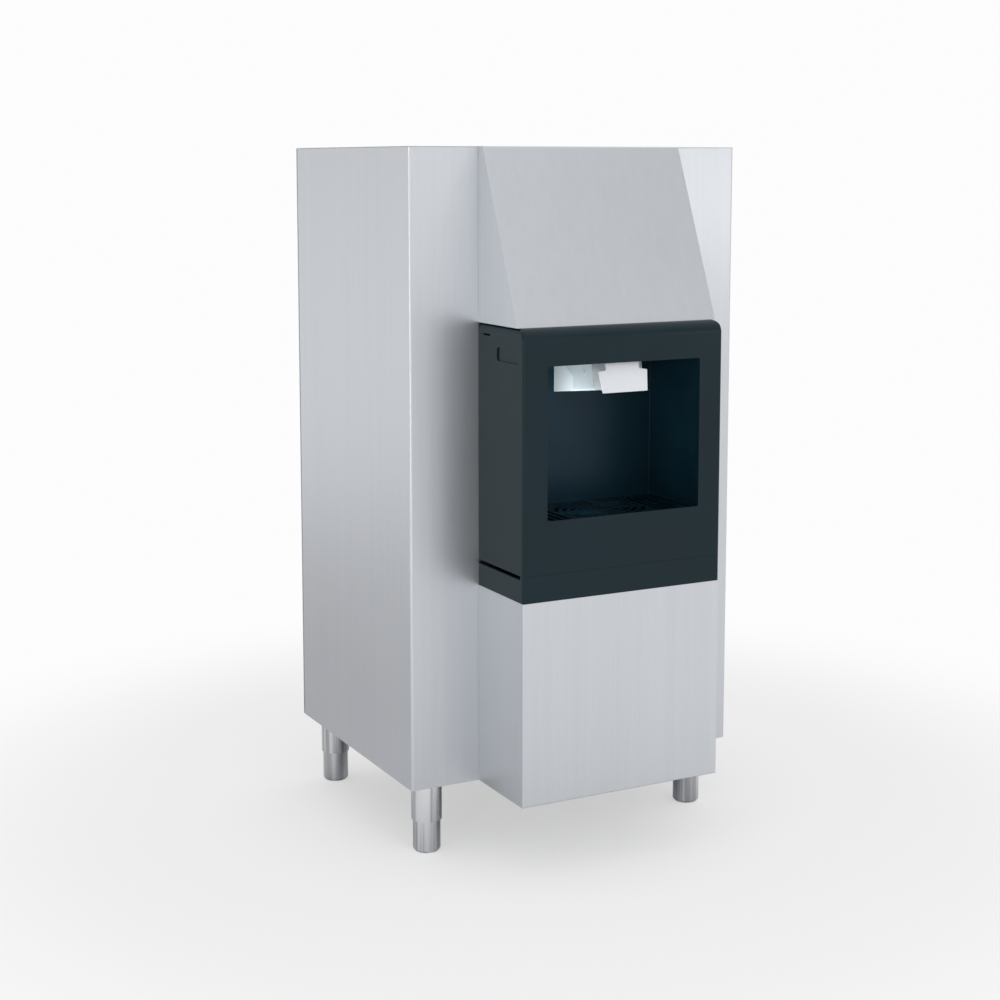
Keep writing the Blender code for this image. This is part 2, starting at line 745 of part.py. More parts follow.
def base_pan():
    """The tray that the legs bolt to, open at the front where the bulkhead stands."""
    pan = extrusion("base_pan", core_outline(CORE_FRONT_Y, CORE_REAR_Y), BASE_LOW_Z,
                    BASE_LOW_Z + BASE_FLANGE,
                    "Z", galvanised("base_pan_steel"))
    cut(pan, block(
        "pan_cut", (-CORE_HALF + BASE_SHEET, CABINET_FRONT_Y, BASE_TOP_Z),
        (CORE_HALF - BASE_SHEET, CORE_REAR_Y - BASE_SHEET, BASE_LOW_Z + BASE_FLANGE + CUT_OVERRUN),
    ))
    cut(pan, rod("gland_cut", GLAND_RADIUS + GAP, (GLAND_X, GLAND_Y, BASE_LOW_Z - CUT_OVERRUN),
                 (GLAND_X, GLAND_Y, BASE_TOP_Z + CUT_OVERRUN)))


def front_bulkhead():
    """The inner front sheet with the outlet window and the ways for hose and cable."""
    low_y, high_y = CORE_FRONT_Y, CORE_FRONT_Y + SHEET
    sheet = block("front_bulkhead", (-BULKHEAD_HALF, low_y, BASE_TOP_Z + GAP),
                  (BULKHEAD_HALF, high_y, UNDER_TOP_Z),
                  galvanised("front_bulkhead_steel"))
    before, after = low_y - CUT_OVERRUN, high_y + CUT_OVERRUN
    cut(sheet, block("outlet_window", (-OUTLET_HALF - GAP, before, OUTLET_LOW_Z - GAP),
                     (OUTLET_HALF + GAP, after, OUTLET_HIGH_Z + GAP)))
    cut(sheet, block("hose_window", (HOSE_WINDOW_X - HOSE_WINDOW_HALF, before, HOSE_WINDOW_LOW_Z),
                     (HOSE_WINDOW_X + HOSE_WINDOW_HALF, after, HOSE_WINDOW_HIGH_Z)))
    cut(sheet, rod("cable_hole", GROMMET_RADIUS, (MOTOR_CABLE_X, before, MOTOR_CABLE_Z),
                   (MOTOR_CABLE_X, after, MOTOR_CABLE_Z), None, SMALL_SIDES))


def rear_bulkhead():
    """The sheet behind the foam that carries the drive."""
    sheet = block("rear_bulkhead", (-CORE_HALF, REAR_BULKHEAD_Y, BIN_FLOOR_Z + GAP),
                  (CORE_HALF, REAR_BULKHEAD_END_Y, UNDER_TOP_Z), galvanised("rear_bulkhead_steel"))
    cut(sheet, rod("rear_shaft_hole", BUSH_RADIUS + GAP, (0, REAR_BULKHEAD_Y - CUT_OVERRUN, AXLE_Z),
                   (0, REAR_BULKHEAD_END_Y + CUT_OVERRUN, AXLE_Z)))


def bin_floor_sheet():
    """The flat sheet under the foam with the angles welded under its sides."""
    sheet = extrusion("bin_floor_sheet", core_outline(FOAM_FRONT_Y, REAR_BULKHEAD_END_Y),
                      BIN_FLOOR_Z - SHEET, BIN_FLOOR_Z, "Z", galvanised("bin_floor_steel"))
    cut(sheet, rod("floor_drain_hole", DRAIN_RADIUS + GAP,
                   (0, DRAIN_Y, BIN_FLOOR_Z - SHEET - CUT_OVERRUN),
                   (0, DRAIN_Y, BIN_FLOOR_Z + CUT_OVERRUN)))
    join(sheet, bin_rail(-1), bin_rail(1))


def bin_rail(side):
    """An angle beside the side panel that carries the floor sheet."""
    top = BIN_FLOOR_Z - SHEET / 2
    under = BIN_FLOOR_Z - SHEET - RAIL_SHEET
    outer = side * CORE_HALF
    inner = side * (CORE_HALF - RAIL_SHEET)
    tip = side * (CORE_HALF - RAIL_LEG)
    outline = [(outer, top), (tip, top), (tip, under), (inner, under), (inner, under - RAIL_LEG),
               (outer, under - RAIL_LEG)]
    return extrusion("bin_rail", outline, FOAM_FRONT_Y + FOLD_RADIUS, REAR_BULKHEAD_END_Y - GAP, "Y")


def leg_and_foot(suffix, x, y):
    """A round leg with its bolt plate, and the levelling foot that screws into it."""
    plate_top = BASE_LOW_Z - GAP
    leg = rod("leg_" + suffix, LEG_RADIUS, (x, y, FOOT_SHOWN), (x, y, plate_top - LEG_PLATE / 2),
              stainless("leg_steel_" + suffix))
    plate = block("leg_plate", (x - LEG_PLATE_HALF, y - LEG_PLATE_HALF, plate_top - LEG_PLATE),
                  (x + LEG_PLATE_HALF, y + LEG_PLATE_HALF, plate_top))
    bore_top = FOOT_SHOWN + FOOT_HELD + CUT_OVERRUN
    join(leg, plate)
    cut(leg, rod("leg_bore", LEG_BORE_RADIUS, (x, y, FOOT_SHOWN - CUT_OVERRUN), (x, y, bore_top)))
    profile = [
        (0, FOOT_SHOWN + FOOT_HELD), (FOOT_RADIUS, FOOT_SHOWN + FOOT_HELD), (FOOT_RADIUS, FOOT_CHAMFER),
        (FOOT_RADIUS - FOOT_SOLE_INSET, 0), (0, 0),
    ]
    turned("foot_" + suffix, profile, (x, y, 0), stainless("foot_steel_" + suffix))


def turned(name, profile, origin, finish, sides=ROUND_SIDES):
    """A turned piece: a (radius, z) profile swept round its upright axis."""
    bm = bmesh.new()
    row = [bm.verts.new((radius, 0, z)) for radius, z in profile]
    for pair in zip(row, row[1:]):
        bm.edges.new(pair)
    mesh = bpy.data.meshes.new(name)
    bm.to_mesh(mesh)
    bm.free()
    item = place(name, mesh, CUTTERS if finish is None else PARTS, finish)
    item.location = origin
    modifier(item, "SCREW", steps=sides, render_steps=sides, use_merge_vertices=True,
             merge_threshold=0.00001, use_smooth_shade=True)
    return item


# Bin

def bin_section(half_width, radius, slope_top_z, top_z):
    """Front view of the bin: upright walls, slopes and a round trough, from one top corner to the other."""
    corner = Vector((half_width, slope_top_z - AXLE_Z))
    tangent = corner.angle_signed(Vector((1, 0))) - math.acos(radius / corner.length)
    right = []
    for step in range(TROUGH_STEPS // 2 + 1):
        angle = tangent + (-math.pi / 2 - tangent) * step / (TROUGH_STEPS // 2)
        right.append((radius * math.cos(angle), AXLE_Z + radius * math.sin(angle)))
    right = [(half_width, top_z), (half_width, slope_top_z)] + right
    left = [(-x, z) for x, z in reversed(right[:-1])]
    return right + left


def bin_solid(name, grow, top_z, finish=None):
    """The bin's inside, grown by a wall on every side but the top."""
    outline = bin_section(BIN_HALF + grow, TROUGH_RADIUS + grow, BIN_SLOPE_TOP_Z, top_z)
    return extrusion(name, outline, BIN_FRONT_Y - grow, BIN_REAR_Y + grow, "Y", finish)


def bin_openings(item, slack, label):
    """Cut the outlet, both shaft holes and the drain hole through a piece of the bin."""
    front = CORE_FRONT_Y - CUT_OVERRUN
    rear = REAR_BULKHEAD_END_Y + CUT_OVERRUN
    middle = (BIN_FRONT_Y + BIN_REAR_Y) / 2
    cut(item, block(label + "_outlet", (-OUTLET_HALF - slack, front, OUTLET_LOW_Z - slack),
                    (OUTLET_HALF + slack, middle, OUTLET_HIGH_Z + slack)))
    cut(item, rod(label + "_shaft_hole", BUSH_RADIUS + slack, (0, front, AXLE_Z), (0, rear, AXLE_Z)))
    cut(item, rod(label + "_drain_hole", DRAIN_RADIUS + slack, (0, DRAIN_Y, BIN_FLOOR_Z - CUT_OVERRUN),
                  (0, DRAIN_Y, AXLE_Z)))


def bin_liner():
    """The white moulded liner with its rim."""
    rim_top = UNDER_TOP_Z
    liner = bin_solid("bin_liner", BIN_WALL, rim_top, white_plastic("liner_plastic"))
    reach = BIN_WALL + BIN_RIM
    join(liner, block("liner_rim", (-BIN_HALF - reach, BIN_FRONT_Y - reach, rim_top - BIN_WALL),
                      (BIN_HALF + reach, BIN_REAR_Y + reach, rim_top)))
    cut(liner, bin_solid("liner_hollow", 0.0, rim_top + CUT_OVERRUN))
    bin_openings(liner, GAP, "liner")


def bin_insulation():
    """The foam between liner and cabinet."""
    top = UNDER_TOP_Z - BIN_WALL - GAP
    foam = extrusion("bin_insulation", core_outline(FOAM_FRONT_Y, REAR_BULKHEAD_Y - GAP),
                     BIN_FLOOR_Z + GAP, top,
                     "Z", finish_of("foam", (0.72, 0.66, 0.45), 0.9, 0.0))
    cut(foam, bin_solid("foam_hollow", BIN_WALL + GAP, top + CUT_OVERRUN))
    bin_openings(foam, GAP, "foam")


def outlet_throat():
    """The duct from the bin to the chute, flanged inside the bin."""
    nose = FACE_Y - THROAT_NOSE
    inner = BIN_FRONT_Y + GAP + THROAT_WALL
    throat = block("outlet_throat", (-OUTLET_HALF, nose, OUTLET_LOW_Z),
                   (OUTLET_HALF, inner, OUTLET_HIGH_Z),
                   white_plastic("throat_plastic"))
    join(throat, block("throat_flange",
                       (-OUTLET_HALF - THROAT_FLANGE, BIN_FRONT_Y + GAP, OUTLET_LOW_Z - THROAT_FLANGE),
                       (OUTLET_HALF + THROAT_FLANGE, inner, OUTLET_HIGH_Z + THROAT_FLANGE)))
    cut(throat, block("throat_way", (-OUTLET_HALF + THROAT_WALL, nose - CUT_OVERRUN,
                                     OUTLET_LOW_Z + THROAT_WALL),
                      (OUTLET_HALF - THROAT_WALL, inner + CUT_OVERRUN, OUTLET_HIGH_Z - THROAT_WALL)))


# Module

def hood():
    """The sloped stainless hood, open below, flanged at the back."""
    foot_reach = MODULE_REACH - HEADER_SLOPE * (BLACK_TOP_Z - CREASE_Z)
    back = ahead(GAP)
    profile = [
        (back, BLACK_TOP_Z + GAP), (ahead(foot_reach), BLACK_TOP_Z + GAP),
        (ahead(HOOD_TOP_REACH), TOP_Z), (back, TOP_Z),
    ]

    def is_top_front_edge(edge):
        """True for the fold between the slope and the top."""
        return abs(edge_along(edge).x) > 0.9 and edge_middle(edge).y < ahead(HOOD_TOP_REACH / 2)

    module_shell("hood", profile, ("bottom",), SHEET,
                 [(is_front_side_edge, HOOD_FOLD_RADIUS), (is_top_front_edge, HOOD_FOLD_RADIUS)],
                 stainless("hood_steel"), True)


def bezel():
    """The black moulding round the alcove: sloped header, upright front and sides."""
    back = ahead(GAP)
    header_reach = MODULE_REACH - HEADER_SLOPE * (BLACK_TOP_Z - CREASE_Z)
    low = SEAM_Z + SEAM_GROOVE / 2
    profile = [
        (back, low), (FRONT_Y, low), (FRONT_Y, CREASE_Z),
        (ahead(header_reach), BLACK_TOP_Z - GAP), (back, BLACK_TOP_Z - GAP),
    ]

    def is_shoulder(edge):
        """True for the edges between the top and the two sides."""
        return abs(edge_along(edge).y) > 0.9 and edge_middle(edge).z > CREASE_Z

    item = module_shell("bezel", profile, ("bottom",), BLACK_WALL,
                        [(is_front_side_edge, BLACK_EDGE_RADIUS), (is_shoulder, BLACK_SHOULDER_RADIUS)],
                        black_plastic("bezel_plastic"))
    opening = rounded(rectangle(-OPENING_HALF, OPENING_HALF, OPENING_LOW_Z, OPENING_HIGH_Z),
                      OPENING_CORNER_RADIUS)
    cut(item, extrusion("alcove_opening", opening, FRONT_Y - CUT_OVERRUN,
                        FRONT_Y + BLACK_WALL + CUT_OVERRUN, "Y"))
    inner = MODULE_HALF - BLACK_WALL - TOP_LEDGE
    cut(item, block("top_cut", (-inner, ahead(header_reach - BLACK_WALL - TOP_LEDGE),
                                BLACK_TOP_Z - TOP_LEDGE),
                    (inner, CABINET_FRONT_Y, BLACK_TOP_Z + CUT_OVERRUN)))
    for side in (-1, 1):
        outer = side * (MODULE_HALF + CUT_OVERRUN)
        grip = rounded(rectangle(ahead(GRIP_FAR), ahead(GRIP_NEAR), GRIP_LOW_Z, GRIP_HIGH_Z), GRIP_RADIUS)
        cut(item, extrusion("grip_cut", grip, side * (MODULE_HALF - GRIP_DEPTH), outer, "X"))
        cut(item, block("slot_cut", (min(outer, side * MODULE_HALF / 2), ahead(SLOT_FAR),
                                     SLOT_Z - SLOT_HEIGHT / 2),
                        (max(outer, side * MODULE_HALF / 2), ahead(SLOT_NEAR), SLOT_Z + SLOT_HEIGHT / 2)))


def band_path(inset, rear):
    """Plan of the module's front and sides, set in by a distance, from the left rear to the right rear."""
    half = MODULE_HALF - inset
    front = FRONT_Y + inset
    return rounded([(-half, rear), (-half, front), (half, front), (half, rear)],
                   BLACK_EDGE_RADIUS - inset / 2, closed=False)


def lower_band():
    """The black band under the bezel, with a collar that closes both seams from behind."""
    high = SEAM_Z - SEAM_GROOVE / 2
    short_rear = ahead(SHEET + 2 * GAP)
    item = folded_sheet("lower_band", band_path(0, ahead(GAP)), BLACK_BOTTOM_Z, high, BLACK_WALL,
                        black_plastic("band_plastic"))
    for side in (-1, 1):
        near, far = sorted((side * (MODULE_HALF - BLACK_WALL - GAP / 2), side * (MODULE_HALF + CUT_OVERRUN)))
        front = ahead(MODULE_REACH - 2 * BLACK_EDGE_RADIUS)
        cut(item, block("side_groove", (near, front, high - SIDE_GROOVE),
                        (far, ahead(-CUT_OVERRUN), high + CUT_OVERRUN)))
    collar = folded_sheet("band_collar", band_path(BLACK_WALL + GAP, short_rear),
                          BLACK_BOTTOM_Z - COLLAR_LAP, SEAM_Z + COLLAR_LAP, BLACK_WALL)
    web = folded_sheet("band_web", band_path(BLACK_WALL / 2, short_rear),
                       BLACK_BOTTOM_Z + COLLAR_LAP, high - COLLAR_LAP, BLACK_WALL)
    join(item, web, collar)


def lower_front_panel():
    """The stainless box under the black band, open above, flanged at the back."""
    back = ahead(GAP)
    profile = [
        (back, CABINET_LOW_Z), (FRONT_Y, CABINET_LOW_Z), (FRONT_Y, BLACK_BOTTOM_Z - GAP),
        (back, BLACK_BOTTOM_Z - GAP),
    ]

    def is_sill_edge(edge):
        """True for the fold between the front and the floor."""
        return abs(edge_along(edge).x) > 0.9 and edge_middle(edge).y < FRONT_Y + GAP \
            and edge_middle(edge).z < CABINET_LOW_Z + GAP

    module_shell("lower_front_panel", profile, ("top",), SHEET,
                 [(is_front_side_edge, HOOD_FOLD_RADIUS), (is_sill_edge, HOOD_FOLD_RADIUS)],
                 stainless("lower_panel_steel"), True)


def alcove_liner():
    """The black tub behind the opening, with a hole above for the chute and one below for the tray."""
    outer = ALCOVE_HALF + ALCOVE_WALL
    back = FACE_Y - GAP
    front = FRONT_Y + BLACK_WALL + GAP
    low = ALCOVE_FLOOR_Z - ALCOVE_WALL
    high = ALCOVE_TOP_Z + ALCOVE_WALL
    tub = block("alcove_liner", (-outer, front, low), (outer, back, high),
                black_plastic("alcove_plastic"))
    join(tub, block("alcove_flange", (-outer - ALCOVE_FLANGE, front, low - ALCOVE_FLANGE),
                    (outer + ALCOVE_FLANGE, front + ALCOVE_WALL, high)))
    cut(tub, block("alcove_hollow", (-ALCOVE_HALF, front - CUT_OVERRUN, ALCOVE_FLOOR_Z),
                   (ALCOVE_HALF, back - ALCOVE_WALL, ALCOVE_TOP_Z)))
    cut(tub, block("tray_hole", (-TRAY_HALF - TRAY_WALL - GAP, ahead(TRAY_FRONT + TRAY_WALL + GAP),
                                 low - CUT_OVERRUN),
                   (TRAY_HALF + TRAY_WALL + GAP, ahead(TRAY_BACK - TRAY_WALL - GAP),
                    ALCOVE_FLOOR_Z + CUT_OVERRUN)))
    half = CHUTE_HALF + BRACKET_SHEET + 2 * GAP + CUT_OVERRUN
    cut(tub, block("chute_hole", (-half, ahead(MODULE_REACH - BLACK_WALL - 2 * ALCOVE_WALL),
                                  ALCOVE_TOP_Z - CUT_OVERRUN),
                   (half, back - ALCOVE_WALL, high + CUT_OVERRUN)))


def drip_tray():
    """The basin hung by its rim in the alcove's floor, with a drain spigot."""
    rim_low = ALCOVE_FLOOR_Z + GAP
    rim_high = rim_low + TRAY_WALL
    floor = ALCOVE_FLOOR_Z - TRAY_DEPTH
    tray = block("drip_tray", (-TRAY_HALF - TRAY_WALL, ahead(TRAY_FRONT + TRAY_WALL), floor - TRAY_WALL),
                 (TRAY_HALF + TRAY_WALL, ahead(TRAY_BACK - TRAY_WALL),
                  rim_high), black_plastic("tray_plastic"))
    join(tray, block("tray_rim", (-TRAY_HALF - TRAY_RIM, ahead(TRAY_FRONT + TRAY_RIM), rim_low),
                     (TRAY_HALF + TRAY_RIM, ahead(TRAY_BACK - TRAY_RIM), rim_high)))
    join(tray, rod("tray_spigot", SPIGOT_RADIUS, (SPIGOT_X, ahead(SPIGOT_REACH), floor - SPIGOT_LENGTH),
                   (SPIGOT_X, ahead(SPIGOT_REACH), floor - TRAY_WALL / 2)))
    cut(tray, block("tray_hollow", (-TRAY_HALF, ahead(TRAY_FRONT), floor),
                    (TRAY_HALF, ahead(TRAY_BACK), rim_high + CUT_OVERRUN)))
    cut(tray, rod("spigot_bore", SPIGOT_BORE_RADIUS,
                  (SPIGOT_X, ahead(SPIGOT_REACH), floor - SPIGOT_LENGTH - CUT_OVERRUN),
                  (SPIGOT_X, ahead(SPIGOT_REACH), floor + CUT_OVERRUN)))


def oval_slot(centre, half_long, half_short, width, start, end, steps=8):
    """A slot that follows part of an oval."""
    outer = []
    inner = []
    for step in range(steps + 1):
        angle = start + (end - start) * step / steps
        turned_to = Vector((math.cos(angle), math.sin(angle)))
        outer.append((centre[0] + half_long * turned_to.x, centre[1] + half_short * turned_to.y))
        inner.append((centre[0] + (half_long - width) * turned_to.x,
                      centre[1] + (half_short - width) * turned_to.y))
    return outer + inner[::-1]


def drip_grille():
    """The black grille on the tray's rim: oval slots in the middle, straight ones beside them."""
    low_z = ALCOVE_FLOOR_Z + GAP + TRAY_WALL + GAP
    high_z = low_z + GRILLE_THICKNESS
    near, far = ahead(GRILLE_MARGIN), ahead(MODULE_REACH - BLACK_WALL - GRILLE_MARGIN)
    half = ALCOVE_HALF - GRILLE_MARGIN
    outline = rounded(rectangle(-half, half, far, near), BLACK_EDGE_RADIUS)
    grille = extrusion("drip_grille", outline, low_z, high_z, "Z", black_plastic("grille_plastic"))
    middle = (0, (near + far) / 2)
    depth_half = (near - far) / 2 - GRILLE_FRAME
    below, above = low_z - CUT_OVERRUN, high_z + CUT_OVERRUN
    bridge = math.radians(GRILLE_BRIDGE_ANGLE)
    pitch = GRILLE_SLOT + GRILLE_RIB
    for ring in range(4):
        long_half = GRILLE_OVAL_HALF - ring * pitch
        short_half = depth_half - ring * pitch
        for quarter in range(4):
            start = quarter * math.pi / 2 + bridge / 2
            slot = oval_slot(middle, long_half, short_half, GRILLE_SLOT, start,
                             start + math.pi / 2 - bridge)
            cut(grille, extrusion("grille_oval_cut", slot, below, above, "Z"))
    beside = half - GRILLE_FRAME - GRILLE_OVAL_HALF - GRILLE_RIB
    columns = int(beside // pitch)
    for side in (-1, 1):
        for column in range(columns):
            x = side * (GRILLE_OVAL_HALF + GRILLE_RIB + column * pitch + GRILLE_SLOT / 2)
            cut(grille, block("grille_slot_cut", (x - GRILLE_SLOT / 2, middle[1] - depth_half, below),
                              (x + GRILLE_SLOT / 2, middle[1] + depth_half, above)))


# Chute, gate and flap

def chute_outline():
    """Side view of the chute."""
    return [
        (ahead(CHUTE_BACK), CHUTE_BACK_Z), (ahead(CHUTE_FRONT), CHUTE_FRONT_Z),
        (ahead(CHUTE_BROW), CHUTE_BROW_Z), (ahead(CHUTE_BACK), CHUTE_ROOF_Z),
    ]


def ice_chute():
    """The white chute: two cheeks, a sloped roof, a front wall and a ramp, open behind and below."""
    chute = extrusion("ice_chute", chute_outline(), -CHUTE_HALF, CHUTE_HALF, "X",
                      white_plastic("chute_plastic"))
    roof_slope = (CHUTE_ROOF_Z - CHUTE_BROW_Z) / (CHUTE_BROW - CHUTE_BACK)
    roof_drop = CHUTE_WALL * math.hypot(1, roof_slope)
    bottom_slope = (CHUTE_FRONT_Z - CHUTE_BACK_Z) / (CHUTE_FRONT - CHUTE_BACK)
    front_slope = (CHUTE_FRONT - CHUTE_BROW) / (CHUTE_BROW_Z - CHUTE_FRONT_Z)
    front_wall = CHUTE_WALL * math.hypot(1, front_slope)
    ramp_low = CHUTE_BACK_Z + bottom_slope * (CHUTE_RAMP - CHUTE_BACK)
    inner = CHUTE_HALF - CHUTE_WALL
    back = CHUTE_BACK - CUT_OVERRUN
    brow = CHUTE_BROW - front_wall
    way = [
        (ahead(back), OUTLET_LOW_Z - CHUTE_WALL), (ahead(CHUTE_RAMP), CHUTE_RAMP_Z),
        (ahead(CHUTE_RAMP), ramp_low - CUT_OVERRUN), (ahead(CHUTE_FRONT - front_wall),
                                                      CHUTE_FRONT_Z - CUT_OVERRUN),
        (ahead(brow), CHUTE_ROOF_Z - roof_slope * (brow - CHUTE_BACK) - roof_drop),
        (ahead(back), CHUTE_ROOF_Z - roof_drop),
    ]
    cut(chute, extrusion("chute_way", way, -inner, inner, "X"))
    ramp_slope = (OUTLET_LOW_Z - CHUTE_WALL - CHUTE_RAMP_Z) / (CHUTE_RAMP - CHUTE_BACK)
    ramp_drop = CHUTE_WALL * math.hypot(1, ramp_slope)
    under = [
        (ahead(CHUTE_BACK + CHUTE_WALL), OUTLET_LOW_Z - CHUTE_WALL - ramp_drop - ramp_slope * CHUTE_WALL),
        (ahead(CHUTE_BACK + CHUTE_WALL), CHUTE_BACK_Z - CUT_OVERRUN),
        (ahead(CHUTE_RAMP - CHUTE_WALL), CHUTE_BACK_Z - CUT_OVERRUN),
        (ahead(CHUTE_RAMP - CHUTE_WALL), CHUTE_RAMP_Z - ramp_drop + ramp_slope * CHUTE_WALL),
    ]
    cut(chute, extrusion("chute_under", under, -inner, inner, "X"))
    for side in (-1, 1):
        outer = side * (CHUTE_HALF + CHUTE_EAR)
        inside = side * (CHUTE_HALF - CHUTE_WALL / 2)
        join(chute, block("chute_ear", (min(outer, inside), FACE_Y - GAP - CHUTE_WALL, CHUTE_EAR_LOW_Z),
                          (max(outer, inside), FACE_Y - GAP, CHUTE_EAR_HIGH_Z)))
    cut(chute, rod("gate_shaft_hole", GATE_SHAFT_RADIUS + GAP, (-HALF_WIDTH, GATE_AXIS_Y, GATE_AXIS_Z),
                   (HALF_WIDTH, GATE_AXIS_Y, GATE_AXIS_Z), None, SMALL_SIDES))


def ice_gate():
    """The plate that closes the throat, hung on a barrel round its shaft."""
    rear = FACE_Y - THROAT_NOSE - GAP
    gate = block("ice_gate", (-GATE_HALF, rear - GATE_THICKNESS, OUTLET_LOW_Z - GATE_BELOW),
                 (GATE_HALF, rear, GATE_AXIS_Z), white_plastic("gate_plastic"))
    axis = (0, GATE_AXIS_Y, GATE_AXIS_Z)
    set_origin(gate, axis)
    join(gate, rod("gate_barrel", GATE_BARREL_RADIUS, (-GATE_HALF, *axis[1:]), (GATE_HALF, *axis[1:]),
                   None,
                   SMALL_SIDES))
    cut(gate, rod("gate_bore", GATE_SHAFT_RADIUS + GAP, (-CHUTE_HALF, *axis[1:]),
                  (CHUTE_HALF, *axis[1:]), None,
                  SMALL_SIDES))


def gate_shaft():
    """The gate's shaft with the crank and crank pin that the solenoid lifts."""
    axis = (GATE_AXIS_Y, GATE_AXIS_Z)
    end = CHUTE_HALF + CHUTE_WALL
    start = CRANK_X - CRANK_SHEET
    shaft = rod("gate_shaft", GATE_SHAFT_RADIUS, (start, *axis), (end, *axis),
                finish_of("gate_shaft_steel", (0.5, 0.51, 0.53), 0.3, 1.0), SMALL_SIDES)
    pin_y = GATE_AXIS_Y - CRANK_LENGTH * math.cos(CRANK_HALF_SWING)
    half = CRANK_WIDTH / 2
    along = Vector((pin_y - GATE_AXIS_Y, CRANK_PIN_Z - GATE_AXIS_Z)).normalized()
    across = Vector((-along.y, along.x)) * half
    root, tip = Vector(axis) - along * half, Vector((pin_y, CRANK_PIN_Z)) + along * half
    arm = [tuple(root + across), tuple(tip + across), tuple(tip - across), tuple(root - across)]
    join(shaft, extrusion("crank_arm", arm, CRANK_X - CRANK_SHEET, CRANK_X, "X"))
    pin = rod("crank_pin", CRANK_PIN_RADIUS,
              (CRANK_X - CRANK_PIN_LENGTH - CRANK_SHEET / 2, pin_y, CRANK_PIN_Z),
              (CRANK_X - CRANK_SHEET / 2, pin_y, CRANK_PIN_Z), None, SMALL_SIDES)
    join(shaft, pin)


def solenoid():
    """The gate's solenoid: bent frame on the bulkhead, coil, and plunger with a slotted end."""
    front = PLUNGER_Y - COIL_RADIUS
    rear = FACE_Y - GAP
    low, sheet = SOLENOID_LOW_Z, SOLENOID_SHEET
    high = low + 2 * sheet + COIL_LENGTH + 2 * GAP
    channel = [
        (front, low), (rear, low), (rear, high), (front, high),
        (front, high - sheet), (rear - sheet, high - sheet), (rear - sheet, low + sheet), (front, low + sheet),
    ]
    frame = extrusion("solenoid_frame", channel, PLUNGER_X - SOLENOID_HALF, PLUNGER_X + SOLENOID_HALF,
                      "X", galvanised("solenoid_frame_steel"))
    hole = PLUNGER_RADIUS + 2 * GAP
    cut(frame, rod("plunger_hole", hole, (PLUNGER_X, PLUNGER_Y, low - CUT_OVERRUN),
                   (PLUNGER_X, PLUNGER_Y, low + sheet + CUT_OVERRUN)))
    coil_low = low + sheet + GAP
    coil = rod("solenoid_coil", COIL_RADIUS - GAP, (PLUNGER_X, PLUNGER_Y, coil_low),
               (PLUNGER_X, PLUNGER_Y, coil_low + COIL_LENGTH),
               finish_of("coil_tape", (0.10, 0.08, 0.03), 0.5, 0.0))
    cut(coil, rod("coil_bore", hole, (PLUNGER_X, PLUNGER_Y, coil_low - CUT_OVERRUN),
                  (PLUNGER_X, PLUNGER_Y, coil_low + COIL_LENGTH + CUT_OVERRUN)))
    tongue_low = CRANK_PIN_Z - CLEVIS_BELOW
    plunger = block("solenoid_plunger",
                    (PLUNGER_X - CLEVIS_SHEET / 2, PLUNGER_Y - CLEVIS_HALF, tongue_low),
                    (PLUNGER_X + CLEVIS_SHEET / 2, PLUNGER_Y + CLEVIS_HALF, CLEVIS_TOP_Z),
                    finish_of("plunger_steel", (0.5, 0.51, 0.53), 0.25, 1.0))
    slot_half = CRANK_PIN_RADIUS + CRANK_SIDEWAYS / 2 + 2 * GAP
    slot_rise = CRANK_PIN_RADIUS + 2 * GAP
    cut(plunger, block("clevis_slot", (PLUNGER_X - CLEVIS_SHEET, PLUNGER_Y - slot_half,
                                       CRANK_PIN_Z - slot_rise),
                       (PLUNGER_X + CLEVIS_SHEET, PLUNGER_Y + slot_half, CRANK_PIN_Z + slot_rise)))
    join(plunger, rod("plunger_rod", PLUNGER_RADIUS, (PLUNGER_X, PLUNGER_Y, CLEVIS_TOP_Z - CUT_OVERRUN),
                      (PLUNGER_X, PLUNGER_Y, CLEVIS_TOP_Z + PLUNGER_LENGTH)))


